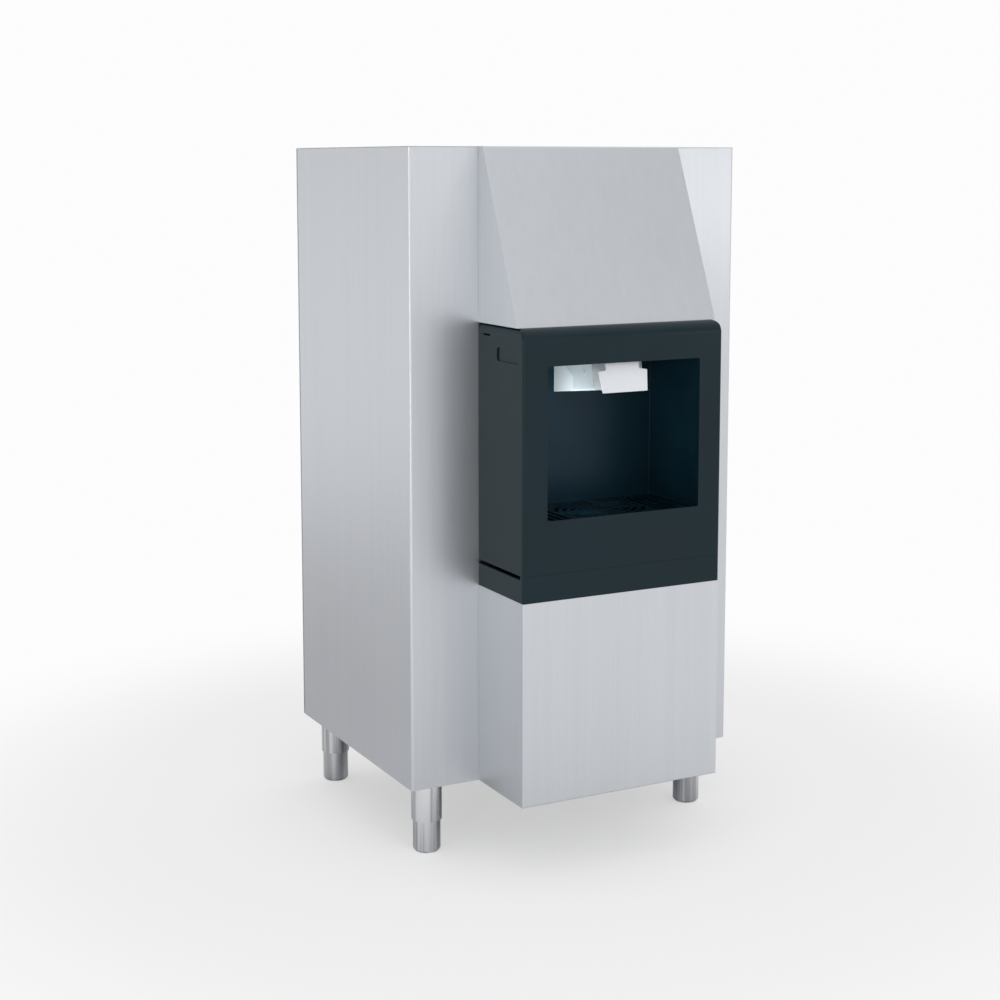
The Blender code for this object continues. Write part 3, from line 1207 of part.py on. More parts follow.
def flap_bracket():
    """The bent bracket astride the chute that holds the flap's pin and the switch."""
    inner = CHUTE_HALF + GAP
    outer = inner + BRACKET_SHEET
    top = FLAP_PIN_Z + FLAP_BARREL_RADIUS
    nose = FLAP_PIN_AHEAD + FLAP_BARREL_RADIUS
    bottom_slope = (CHUTE_FRONT_Z - CHUTE_BACK_Z) / (CHUTE_FRONT - CHUTE_BACK)
    heel = CHUTE_FRONT / 2
    cheek = [
        (ahead(heel), CHUTE_BACK_Z + bottom_slope * heel + CHUTE_WALL),
        (ahead(CHUTE_FRONT - CHUTE_WALL), CHUTE_FRONT_Z + CHUTE_WALL),
        (ahead(CHUTE_BROW + CHUTE_WALL), CHUTE_BROW_Z),
        (ahead(nose), FLAP_PIN_Z - FLAP_BARREL_RADIUS), (ahead(nose), top), (ahead(CHUTE_BROW), top),
        (ahead(heel / 2), CHUTE_EAR_LOW_Z), (ahead(heel / 2), CHUTE_BROW_Z - EAR_WEB_DROP),
        (ahead(heel), CHUTE_BROW_Z - 2 * EAR_WEB_DROP),
    ]
    bracket = extrusion("flap_bracket", cheek, -outer, -inner, "X",
                        finish_of("flap_bracket_paint", (0.68, 0.72, 0.74), 0.45, 0.0))
    join(bracket, block("bracket_shelf", (-outer, ahead(BRACKET_SHELF_FAR),
                                          BRACKET_SHELF_Z - BRACKET_SHEET),
                        (outer, ahead(BRACKET_SHELF_NEAR), BRACKET_SHELF_Z)))
    join(bracket, extrusion("bracket_cheek", cheek, inner, outer, "X"))
    for side in (-1, 1):
        screw_x = side * outer
        screw_y, screw_z = ahead((CHUTE_FRONT + heel) / 2), (CHUTE_FRONT_Z + CHUTE_BROW_Z) / 2
        join(bracket, rod("bracket_screw", SCREW_RADIUS,
                          (screw_x - side * BRACKET_SHEET / 2, screw_y, screw_z),
                          (screw_x + side * SCREW_HEAD / 2, screw_y, screw_z), None, SMALL_SIDES))
    cut(bracket, rod("flap_pin_hole", FLAP_PIN_RADIUS + GAP,
                     (-HALF_WIDTH, ahead(FLAP_PIN_AHEAD), FLAP_PIN_Z),
                     (HALF_WIDTH, ahead(FLAP_PIN_AHEAD), FLAP_PIN_Z), None, SMALL_SIDES))


def push_flap():
    """The white plate that a bucket pushes back, and the pin it hangs on."""
    neck, wide, foot = FLAP_NECK_HALF, FLAP_HALF, FLAP_FOOT_HALF
    outline = [
        (-neck, 0), (-neck, -FLAP_SHOULDER), (-wide, -FLAP_SHOULDER - CHUTE_WALL), (-foot, -FLAP_LENGTH),
        (foot, -FLAP_LENGTH), (wide, -FLAP_SHOULDER - CHUTE_WALL), (neck, -FLAP_SHOULDER), (neck, 0),
    ]
    flap = extrusion("push_flap", outline, -FLAP_THICKNESS / 2, FLAP_THICKNESS / 2, "Y",
                     white_plastic("flap_plastic"))
    flap.location = (0, ahead(FLAP_PIN_AHEAD), FLAP_PIN_Z)
    flap.rotation_euler.x = -math.radians(FLAP_TILT)
    axis = (ahead(FLAP_PIN_AHEAD), FLAP_PIN_Z)
    join(flap, rod("flap_barrel", FLAP_BARREL_RADIUS, (-neck + FLAP_THICKNESS, *axis),
                   (neck - FLAP_THICKNESS, *axis), None, SMALL_SIDES))
    cut(flap, rod("flap_bore", FLAP_PIN_RADIUS + GAP, (-wide, *axis), (wide, *axis), None, SMALL_SIDES))
    end = CHUTE_HALF + GAP + BRACKET_SHEET + SCREW_HEAD / 2
    rod("flap_pin", FLAP_PIN_RADIUS, (-end, *axis), (end, *axis), stainless("flap_pin_steel"),
        SMALL_SIDES)


def coil_points(start_x, axis_y, axis_z):
    """Centre line of the flap's return spring: a leg on the bracket, the coils, a leg on the flap."""
    points = []
    steps = SPRING_TURNS * SMALL_SIDES
    for step in range(steps + 1):
        angle = 2 * math.pi * step / SMALL_SIDES
        points.append((start_x + SPRING_PITCH * step / SMALL_SIDES,
                       axis_y + SPRING_COIL_RADIUS * math.cos(angle),
                       axis_z + SPRING_COIL_RADIUS * math.sin(angle)))
    first, last = points[0], points[-1]
    leg = SPRING_COIL_RADIUS * 3
    return [(first[0], first[1], first[2] - leg)] + points + [(last[0], last[1], last[2] - leg)]


def flap_spring():
    """The torsion spring round the flap's pin, between the flap and the bracket."""
    start = FLAP_NECK_HALF + SPRING_WIRE_RADIUS * 2
    points = coil_points(start, ahead(FLAP_PIN_AHEAD), FLAP_PIN_Z)
    wire("flap_spring", points, SPRING_WIRE_RADIUS,
         finish_of("spring_steel", (0.5, 0.51, 0.53), 0.25, 1.0), 1)


def wire(name, points, radius, finish, resolution=2, wall=None):
    """A cable, or with a wall a hose, along a run of points."""
    curve = bpy.data.curves.new(name, "CURVE")
    curve.dimensions = "3D"
    curve.bevel_depth = radius
    curve.bevel_resolution = resolution
    curve.use_fill_caps = wall is None
    spline = curve.splines.new("POLY")
    spline.points.add(len(points) - 1)
    for point, position in zip(spline.points, points):
        point.co = (*position, 1)
    curve.materials.append(finish)
    item = bpy.data.objects.new(name, curve)
    PARTS.objects.link(item)
    if wall is not None:
        modifier(item, "SOLIDIFY", thickness=wall, offset=-1, use_even_offset=True)
    return item


def smooth_route(stations, radius):
    """A run of points with its corners rounded to one radius."""
    points = [Vector(stations[0])]
    for last, here, following in zip(stations, stations[1:], stations[2:]):
        here = Vector(here)
        back = (Vector(last) - here).normalized()
        on = (Vector(following) - here).normalized()
        half = back.angle(on) / 2
        reach = radius / math.tan(half)
        start, end = here + back * reach, here + on * reach
        for step in range(BEND_STEPS + 1):
            share = step / BEND_STEPS
            points.append(start.lerp(here, share).lerp(here.lerp(end, share), share))
    points.append(Vector(stations[-1]))
    return [tuple(point) for point in points]


def microswitch():
    """The switch on the bracket's shelf and the lever that the flap's neck presses."""
    low = BRACKET_SHELF_Z + GAP
    front = BRACKET_SHELF_NEAR + SWITCH_DEPTH
    block("microswitch", (-SWITCH_HALF, ahead(front), low),
          (SWITCH_HALF, ahead(BRACKET_SHELF_NEAR), low + SWITCH_HEIGHT),
          finish_of("microswitch_plastic", (0.02, 0.02, 0.02), 0.45, 0.0))
    pivot = (-SWITCH_HALF + 2 * LEVER_PIN_RADIUS, ahead(front + LEVER_PIN_RADIUS + GAP),
             low + SWITCH_HEIGHT / 2)
    lever = block("switch_lever", (0, -LEVER_SHEET / 2, -LEVER_HEIGHT / 2),
                  (LEVER_LENGTH, LEVER_SHEET / 2, LEVER_HEIGHT / 2),
                  stainless("switch_lever_steel"))
    set_origin(lever, (0, 0, 0))
    lever.location = pivot
    lever.rotation_euler.z = -math.radians(LEVER_LEAN)
    join(lever, rod("lever_pin", LEVER_PIN_RADIUS, (pivot[0], pivot[1], pivot[2] - LEVER_HEIGHT / 2),
                    (pivot[0], pivot[1], pivot[2] + LEVER_HEIGHT / 2), None, SMALL_SIDES))


# Drive

def drive_line():
    """The shaft through the bin with its paddle wheel, agitator and collar."""
    metal = (0.5, 0.51, 0.53)
    shaft_front = FOAM_FRONT_Y + GAP
    shaft_rear = GEARBOX_Y + GEARBOX_DEPTH - BUSH_FLANGE
    rod("drive_shaft", SHAFT_RADIUS, (0, shaft_front, AXLE_Z), (0, shaft_rear, AXLE_Z),
        finish_of("shaft_steel", metal, 0.25, 1.0))
    hub_front = BIN_FRONT_Y + 2 * GAP + BUSH_FLANGE
    wheel_front = BIN_FRONT_Y + WHEEL_INSET
    wheel_rear = wheel_front + WHEEL_WIDTH
    wheel = rod("paddle_wheel", HUB_RADIUS, (0, hub_front, AXLE_Z), (0, wheel_rear, AXLE_Z),
                white_plastic("wheel_plastic"))
    for index in range(PADDLE_COUNT):
        paddle = block("paddle", (HUB_RADIUS / 2, wheel_front, -PADDLE_SHEET / 2),
                       (WHEEL_RADIUS, wheel_rear - GAP, PADDLE_SHEET / 2))
        set_origin(paddle, (0, 0, 0))
        paddle.rotation_euler.y = 2 * math.pi * index / PADDLE_COUNT
        paddle.location = (0, 0, AXLE_Z)
        join(wheel, paddle)
    cut(wheel, rod("wheel_bore", BORE_RADIUS, (0, hub_front - CUT_OVERRUN, AXLE_Z),
                   (0, wheel_rear + CUT_OVERRUN, AXLE_Z)))
    start, end = wheel_rear + GAP, BIN_REAR_Y - 2 * GAP - BUSH_FLANGE
    agitator = rod("agitator", AGITATOR_RADIUS, (0, start, AXLE_Z), (0, end, AXLE_Z),
                   stainless("agitator_steel"),
                   SMALL_SIDES)
    for index in range(AGITATOR_RODS):
        y = start + (end - start) * (index + 0.5) / AGITATOR_RODS
        angle = math.pi * index / AGITATOR_RODS + math.radians(AGITATOR_TURN)
        reach = Vector((math.cos(angle), 0, math.sin(angle))) * AGITATOR_REACH
        middle = Vector((0, y, AXLE_Z))
        join(agitator, rod("agitator_rod", AGITATOR_ROD_RADIUS, middle - reach, middle + reach, None,
                           SMALL_SIDES))
    cut(agitator, rod("agitator_bore", BORE_RADIUS, (0, start - CUT_OVERRUN, AXLE_Z),
                      (0, end + CUT_OVERRUN, AXLE_Z)))
    collar_start = REAR_BULKHEAD_END_Y + BUSH_TAIL + GAP
    collar = rod("shaft_collar", COLLAR_RADIUS, (0, collar_start, AXLE_Z),
                 (0, collar_start + COLLAR_LENGTH, AXLE_Z),
                 stainless("collar_steel"))
    cut(collar, rod("collar_bore", BORE_RADIUS, (0, collar_start - CUT_OVERRUN, AXLE_Z),
                    (0, collar_start + COLLAR_LENGTH + CUT_OVERRUN, AXLE_Z)))


def bush(name, flange_start, flange_end, end):
    """A flanged plain bush in a bin wall."""
    item = rod(name, BUSH_FLANGE_RADIUS, (0, flange_start, AXLE_Z), (0, flange_end, AXLE_Z),
               finish_of(name + "_nylon", (0.75, 0.76, 0.74), 0.5, 0.0))
    low, high = min(flange_start, end), max(flange_start, end)
    inside = (flange_start + flange_end) / 2
    join(item, rod(name + "_sleeve", BUSH_RADIUS, (0, inside, AXLE_Z), (0, end, AXLE_Z)))
    cut(item, rod(name + "_bore", BORE_RADIUS, (0, low - CUT_OVERRUN - BUSH_FLANGE, AXLE_Z),
                  (0, high + CUT_OVERRUN + BUSH_FLANGE, AXLE_Z)))


def gearmotor():
    """The motor bracket, gearbox and motor behind the bin."""
    low_z, high_z = AXLE_Z - GEARBOX_BELOW, AXLE_Z + GEARBOX_ABOVE
    start = REAR_BULKHEAD_END_Y + GAP
    face = HAT_FACE_Y
    foot = HAT_HALF + HAT_FLANGE
    sheet = HAT_SHEET
    hat = [
        (-foot, start), (-HAT_HALF + sheet, start), (-HAT_HALF + sheet, face - sheet),
        (HAT_HALF - sheet, face - sheet), (HAT_HALF - sheet, start), (foot, start),
        (foot, start + sheet), (HAT_HALF, start + sheet), (HAT_HALF, face),
        (-HAT_HALF, face), (-HAT_HALF, start + sheet), (-foot, start + sheet),
    ]
    bracket = extrusion("motor_bracket", hat, low_z, high_z, "Z", galvanised("motor_bracket_steel"))
    for side_x in (-1, 1):
        for bolt_z in (low_z + BOLT_INSET, high_z - BOLT_INSET):
            x = side_x * (GEARBOX_HALF - BOLT_INSET)
            join(bracket, rod("gearbox_bolt", BOLT_RADIUS, (x, face - sheet - BOLT_HEAD, bolt_z),
                              (x, face - sheet / 2, bolt_z), None, SMALL_SIDES))
    cut(bracket, rod("bracket_hole", BUSH_RADIUS, (0, face - sheet - CUT_OVERRUN, AXLE_Z),
                     (0, face + CUT_OVERRUN, AXLE_Z)))
    box = block("gearbox", (-GEARBOX_HALF, GEARBOX_Y, low_z),
                (GEARBOX_HALF, GEARBOX_Y + GEARBOX_DEPTH, high_z),
                finish_of("gearbox_paint", (0.09, 0.12, 0.16), 0.45, 0.3))
    modifier(box, "BEVEL", width=GEARBOX_EDGE, segments=2, limit_method="ANGLE",
             angle_limit=math.radians(40))
    cut(box, rod("gearbox_bore", BORE_RADIUS, (0, GEARBOX_Y - CUT_OVERRUN, AXLE_Z),
                 (0, GEARBOX_Y + GEARBOX_DEPTH + CUT_OVERRUN, AXLE_Z)))
    top = -GAP
    can_low = -MOTOR_LENGTH + MOTOR_BELL_LENGTH
    profile = [
        (0, top), (MOTOR_RADIUS, top), (MOTOR_RADIUS, top - MOTOR_FLANGE),
        (MOTOR_RADIUS - MOTOR_FLANGE / 2, top - MOTOR_FLANGE), (MOTOR_RADIUS - MOTOR_FLANGE / 2, can_low),
        (MOTOR_BELL_RADIUS, -MOTOR_LENGTH), (0, -MOTOR_LENGTH),
    ]
    turned("drive_motor", profile, (0, motor_y(), low_z),
           finish_of("motor_paint", (0.09, 0.12, 0.16), 0.45, 0.3))


def motor_y():
    """The y of the motor's upright axis."""
    return GEARBOX_Y + GEARBOX_DEPTH / 2


# Drains

def drains():
    """The bin's drain fitting, both hoses and the tee that leaves through the back."""
    seat = TROUGH_LOW_Z + DRAIN_SEAT
    fitting = rod("bin_drain_fitting", DRAIN_FLANGE_RADIUS, (0, DRAIN_Y, seat),
                  (0, DRAIN_Y, seat + DRAIN_FLANGE),
                  finish_of("drain_plastic", (0.7, 0.71, 0.7), 0.4, 0.0))
    join(fitting, rod("drain_tube", DRAIN_RADIUS, (0, DRAIN_Y, DRAIN_TAIL_Z),
                      (0, DRAIN_Y, seat + DRAIN_FLANGE / 2)))
    cut(fitting, rod("drain_bore", DRAIN_BORE_RADIUS, (0, DRAIN_Y, DRAIN_TAIL_Z - CUT_OVERRUN),
                     (0, DRAIN_Y, seat + DRAIN_FLANGE + CUT_OVERRUN)))
    hose_radius = DRAIN_RADIUS + 2 * GAP + HOSE_WALL
    stub_top = TEE_Z + TEE_STUB
    hose_finish = finish_of("hose_vinyl", (0.55, 0.58, 0.58), 0.35, 0.0)
    down = [(0, DRAIN_Y, DRAIN_TAIL_Z + HOSE_LAP), (0, DRAIN_Y, stub_top - HOSE_LAP)]
    wire("bin_drain_hose", down, hose_radius, hose_finish, 4, HOSE_WALL)
    sink_y = ahead(SPIGOT_REACH)
    tray_tail = ALCOVE_FLOOR_Z - TRAY_DEPTH - SPIGOT_LENGTH + HOSE_LAP
    run = [
        (SPIGOT_X, sink_y, tray_tail), (SPIGOT_X, sink_y, TEE_Z + TEE_STUB),
        (SPIGOT_X, TEE_FRONT_Y - TEE_STUB * 2, TEE_Z),
        (0, TEE_FRONT_Y - TEE_STUB, TEE_Z), (0, TEE_FRONT_Y + HOSE_LAP, TEE_Z),
    ]
    wire("sink_drain_hose", smooth_route(run, TEE_STUB), hose_radius, hose_finish, 4, HOSE_WALL)
    tee = rod("drain_tee", DRAIN_RADIUS, (0, TEE_FRONT_Y, TEE_Z), (0, BACK_Y, TEE_Z),
              finish_of("tee_plastic", (0.7, 0.71, 0.7), 0.4, 0.0))
    join(tee, rod("tee_stub", DRAIN_RADIUS, (0, DRAIN_Y, TEE_Z), (0, DRAIN_Y, stub_top)))
    cut(tee, rod("tee_bore", DRAIN_BORE_RADIUS, (0, TEE_FRONT_Y - CUT_OVERRUN, TEE_Z),
                 (0, BACK_Y + CUT_OVERRUN, TEE_Z)))
    cut(tee, rod("stub_bore", DRAIN_BORE_RADIUS, (0, DRAIN_Y, TEE_Z),
                 (0, DRAIN_Y, stub_top + CUT_OVERRUN)))


# Controls

def control_box():
    """The box on the bulkhead, its board, its cover and the power switch."""
    rear = FACE_Y - GAP
    box = block("control_box", (BOX_LEFT_X, COVER_Y, BOX_LOW_Z), (BOX_RIGHT_X, rear, BOX_HIGH_Z),
                galvanised("control_box_steel"))
    cut(box, block("box_hollow", (BOX_LEFT_X + BOX_SHEET, COVER_Y - CUT_OVERRUN, BOX_LOW_Z + BOX_SHEET),
                   (BOX_RIGHT_X - BOX_SHEET, rear - BOX_SHEET, BOX_HIGH_Z - BOX_SHEET)))
    cut(box, rod("box_rear_hole", GROMMET_RADIUS,
                 (MOTOR_CABLE_X, rear - BOX_SHEET - CUT_OVERRUN, MOTOR_CABLE_Z),
                 (MOTOR_CABLE_X, rear + CUT_OVERRUN, MOTOR_CABLE_Z), None, SMALL_SIDES))
    for x in (solenoid_cable_x(), switch_cable_x()):
        cut(box, rod("box_top_hole", GROMMET_RADIUS,
                     (x, cable_drop_y(), BOX_HIGH_Z - BOX_SHEET - CUT_OVERRUN),
                     (x, cable_drop_y(), BOX_HIGH_Z + CUT_OVERRUN), None, SMALL_SIDES))
    board_y = rear - BOX_SHEET - BOARD_STANDOFF
    low = (BOX_LEFT_X + BOARD_MARGIN, board_y - BOARD_SHEET,
           BOX_LOW_Z + 2 * BOARD_MARGIN + GROMMET_RADIUS)
    high = (BOX_RIGHT_X - BOARD_MARGIN, board_y, BOX_HIGH_Z - BOARD_MARGIN)
    board = block("control_board", low, high, finish_of("board_green", (0.02, 0.10, 0.05), 0.4, 0.0))
    for x in (low[0] + BOARD_POST_RADIUS * 2, high[0] - BOARD_POST_RADIUS * 2):
        for z in (low[2] + BOARD_POST_RADIUS * 2, high[2] - BOARD_POST_RADIUS * 2):
            join(board, rod("board_post", BOARD_POST_RADIUS, (x, board_y - BOARD_SHEET / 2, z),
                            (x, rear - BOX_SHEET - GAP, z), None, SMALL_SIDES))
    for index in range(3):
        x = low[0] + RELAY_SIZE + index * RELAY_SIZE * 3 / 2
        join(board, block("relay", (x - RELAY_SIZE / 2, low[1] - RELAY_SIZE / 2, low[2] + RELAY_SIZE),
                          (x + RELAY_SIZE / 2, low[1] + BOARD_SHEET / 2, low[2] + 2 * RELAY_SIZE)))
    cover = block("control_box_cover",
                  (BOX_LEFT_X - BOX_SHEET - GAP, COVER_Y - GAP - BOX_SHEET, BOX_LOW_Z - BOX_SHEET - GAP),
                  (BOX_RIGHT_X + BOX_SHEET + GAP, COVER_Y + COVER_LIP, BOX_HIGH_Z + BOX_SHEET + GAP),
                  galvanised("box_cover_steel"))
    cut(cover, block("cover_hollow", (BOX_LEFT_X - GAP, COVER_Y - GAP, BOX_LOW_Z - GAP),
                     (BOX_RIGHT_X + GAP, COVER_Y + COVER_LIP + CUT_OVERRUN, BOX_HIGH_Z + GAP)))
    power_switch(cover)


def power_switch(cover):
    """The rocker switch through the cover."""
    x = (BOX_LEFT_X + BOX_RIGHT_X) / 2
    z = BOX_HIGH_Z - 2 * BOARD_MARGIN
    front = COVER_Y - GAP - BOX_SHEET
    half_x, half_z = ROCKER_HALF_X + ROCKER_FRAME, ROCKER_HALF_Z + ROCKER_FRAME
    cut(cover, block("switch_window", (x - half_x - GAP, front - CUT_OVERRUN, z - half_z - GAP),
                     (x + half_x + GAP, COVER_Y + CUT_OVERRUN, z + half_z + GAP)))
    rim = ROCKER_FRAME
    body = block("power_switch_body", (x - half_x, front - rim / 2, z - half_z),
                 (x + half_x, front + SWITCH_BODY_DEPTH, z + half_z),
                 finish_of("switch_body_plastic", (0.02, 0.02, 0.02), 0.4, 0.0))
    join(body, block("switch_rim", (x - half_x - rim, front - rim, z - half_z - rim),
                     (x + half_x + rim, front - GAP, z + half_z + rim)))
    cut(body, block("rocker_pocket", (x - ROCKER_HALF_X - GAP, front - rim - CUT_OVERRUN,
                                      z - ROCKER_HALF_Z - GAP * 2),
                    (x + ROCKER_HALF_X + GAP, front + SWITCH_BODY_DEPTH / 2,
                     z + ROCKER_HALF_Z + GAP * 2)))
    axis_y = front + ROCKER_AXIS_DEPTH
    radius = ROCKER_HALF_Z
    half_arc = math.radians(ROCKER_ARC)
    steps = 2 * BEND_STEPS
    angles = [half_arc * (2 * step / steps - 1) for step in range(steps + 1)]
    outline = [(axis_y - radius * ROCKER_CROWN_SHARE * math.cos(a),
                z + radius * math.sin(a)) for a in angles]
    outline.append((axis_y + radius / 2, z))
    rocker = extrusion("power_rocker", outline, x - ROCKER_HALF_X, x + ROCKER_HALF_X, "X",
                       finish_of("rocker_plastic", (0.45, 0.03, 0.02), 0.35, 0.0))
    set_origin(rocker, (x, axis_y, z))
    rocker.rotation_euler.x = math.radians(ROCKER_TILT)


def cable_drop_y():
    """The y where the thin cables enter the control box."""
    return FACE_Y - BOX_DEPTH / 2


def solenoid_cable_x():
    """The x of the solenoid cable at the box."""
    return BOX_LEFT_X + BOARD_MARGIN


def switch_cable_x():
    """The x of the switch cable at the box."""
    return BOX_LEFT_X + 2 * BOARD_MARGIN


def cables():
    """The cables from the control box to motor, solenoid and switch, and the inlet gland."""
    rubber = dark_rubber("cable_rubber")
    floor = BASE_TOP_Z + CABLE_RADIUS + GAP
    bend = FOOT_HELD
    motor = [
        (MOTOR_CABLE_X, FACE_Y - BOX_SHEET - 2 * CABLE_RADIUS, MOTOR_CABLE_Z),
        (MOTOR_CABLE_X, FACE_Y + 2 * bend, MOTOR_CABLE_Z),
        (MOTOR_CABLE_X, FACE_Y + 3 * bend, floor), (MOTOR_CABLE_X, motor_y() - 2 * bend, floor),
        (MOTOR_CABLE_X / 2, motor_y(), floor + bend * 2),
        (0, motor_y(), GEARBOX_LOW_Z - 2 * MOTOR_LENGTH),
        (0, motor_y(), GEARBOX_LOW_Z - MOTOR_LENGTH - GAP),
    ]
    wire("motor_cable", smooth_route(motor, bend / 2), CABLE_RADIUS, rubber)
    drop = cable_drop_y()
    below = BOX_HIGH_Z - 4 * BOX_SHEET
    side_x = -(MODULE_HALF + ALCOVE_HALF + ALCOVE_WALL + ALCOVE_FLANGE) / 2
    coil_z = SOLENOID_LOW_Z + COIL_LENGTH / 2
    turn = THIN_CABLE_RADIUS * 4
    solenoid_run = [
        (PLUNGER_X - COIL_RADIUS - GAP, PLUNGER_Y, coil_z), (side_x, PLUNGER_Y, coil_z),
        (side_x, PLUNGER_Y, BOX_HIGH_Z + 4 * BEND_ROOM),
        (solenoid_cable_x(), drop, BOX_HIGH_Z + 2 * BEND_ROOM),
        (solenoid_cable_x(), drop, below),
    ]
    wire("solenoid_cable", smooth_route(solenoid_run, turn), THIN_CABLE_RADIUS,
         dark_rubber("solenoid_cable_rubber"), 1)
    top = BRACKET_SHELF_Z + GAP + SWITCH_HEIGHT
    above = (BLACK_TOP_Z + FLAP_PIN_Z) / 2
    switch_y = ahead(BRACKET_SHELF_NEAR + SWITCH_DEPTH / 2)
    switch_run = [
        (0, switch_y, top + GAP), (0, switch_y, above), (side_x, switch_y, above),
        (side_x, drop - turn, BOX_HIGH_Z + 4 * BEND_ROOM),
        (switch_cable_x(), drop, BOX_HIGH_Z + 2 * BEND_ROOM),
        (switch_cable_x(), drop, below),
    ]
    wire("switch_cable", smooth_route(switch_run, turn), THIN_CABLE_RADIUS,
         dark_rubber("switch_cable_rubber"), 1)
    profile = [
        (GLAND_BORE_RADIUS, GLAND_NUT), (GLAND_RADIUS, GLAND_NUT), (GLAND_RADIUS, -BASE_SHEET - GAP),
        (GLAND_NUT_RADIUS, -BASE_SHEET - GAP), (GLAND_NUT_RADIUS, -BASE_SHEET - GLAND_NUT),
        (GLAND_RADIUS, -BASE_SHEET - GLAND_DROP), (GLAND_BORE_RADIUS, -BASE_SHEET - GLAND_DROP),
        (GLAND_BORE_RADIUS, GLAND_NUT),
    ]
    turned("cord_gland", profile, (GLAND_X, GLAND_Y, BASE_TOP_Z), dark_rubber("gland_nylon"), SMALL_SIDES)


def build():
    """Model every piece."""
    side_panel("left_side_panel", -1)
    side_panel("right_side_panel", 1)
    top_frame()
    rear_panel()
    base_pan()
    front_bulkhead()
    rear_bulkhead()
    bin_floor_sheet()
    front, rear = CABINET_FRONT_Y + LEG_FRONT_SETBACK, BACK_Y - LEG_REAR_SETBACK
    leg_and_foot("front_left", -LEG_X, front)
    leg_and_foot("front_right", LEG_X, front)
    leg_and_foot("rear_left", -LEG_X, rear)
    leg_and_foot("rear_right", LEG_X, rear)
    bin_liner()
    bin_insulation()
    outlet_throat()
    hood()
    bezel()
    lower_band()
    lower_front_panel()
    alcove_liner()
    drip_tray()
    drip_grille()
    ice_chute()
    ice_gate()
    gate_shaft()
    solenoid()
    flap_bracket()
    push_flap()
    flap_spring()
    microswitch()
    drive_line()
    bush("front_bush", BIN_FRONT_Y + GAP, BIN_FRONT_Y + GAP + BUSH_FLANGE, FOAM_FRONT_Y + GAP)
    bush("rear_bush", BIN_REAR_Y - GAP, BIN_REAR_Y - GAP - BUSH_FLANGE, REAR_BULKHEAD_END_Y + BUSH_TAIL)
    gearmotor()
    drains()
    control_box()
    cables()


build()
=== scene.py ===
"""Looks of the floor-standing ice dispenser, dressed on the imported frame.

Brushed sheets, the satin black module, white chute parts, turned legs and the studio are made here.
"""
import json
import logging
import math
from collections.abc import Callable, Sequence
from dataclasses import dataclass, field
from enum import Enum

import bmesh
import bpy
from mathutils import Matrix, Vector


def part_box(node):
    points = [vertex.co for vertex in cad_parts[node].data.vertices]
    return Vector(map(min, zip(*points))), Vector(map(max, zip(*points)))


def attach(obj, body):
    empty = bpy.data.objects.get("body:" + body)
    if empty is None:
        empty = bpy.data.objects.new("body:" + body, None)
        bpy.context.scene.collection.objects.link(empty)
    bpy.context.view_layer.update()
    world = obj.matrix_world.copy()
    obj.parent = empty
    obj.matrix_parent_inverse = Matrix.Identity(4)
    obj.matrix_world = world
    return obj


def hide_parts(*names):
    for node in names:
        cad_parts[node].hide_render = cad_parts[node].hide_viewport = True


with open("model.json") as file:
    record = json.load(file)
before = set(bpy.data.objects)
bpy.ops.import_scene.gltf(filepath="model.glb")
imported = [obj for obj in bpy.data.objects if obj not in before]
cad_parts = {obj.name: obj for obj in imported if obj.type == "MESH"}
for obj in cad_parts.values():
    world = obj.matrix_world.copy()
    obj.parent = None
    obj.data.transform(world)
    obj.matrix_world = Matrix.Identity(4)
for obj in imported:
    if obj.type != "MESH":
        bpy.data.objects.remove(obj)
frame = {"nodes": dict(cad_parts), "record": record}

LOG = logging.getLogger("ice_dispenser")
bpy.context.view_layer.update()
GAP = 0.0003  # surfaces closer than this count as touching, in metres
MERGE = GAP / 30  # points closer than this become one
FLAT_ANGLE = 0.6  # faces that turn less than this become one, in degrees
OVERRUN = 0.002  # how far a cutting shape stands out of the piece that it cuts
ALIGNED = 0.9  # a direction's share along an axis above which it counts as that axis
UPRIGHT = 0.5  # the same for the slanting corners of the module
CABINET = "cabinet"
Point = tuple[float, float, float]
Flat = tuple[float, float]
Colour = tuple[float, float, float]


class Axis(Enum):
    """The direction that an outline is drawn along."""

    X = ((0, 0, 1), (1, 0, 0), (0, 1, 0))
    Y = ((1, 0, 0), (0, 0, 1), (0, 1, 0))
    Z = ((1, 0, 0), (0, 1, 0), (0, 0, 1))

    def frame(self) -> Matrix:
        """The turn from the outline's plane to the row frame."""
        return Matrix(self.value).to_4x4()


# Shader tools


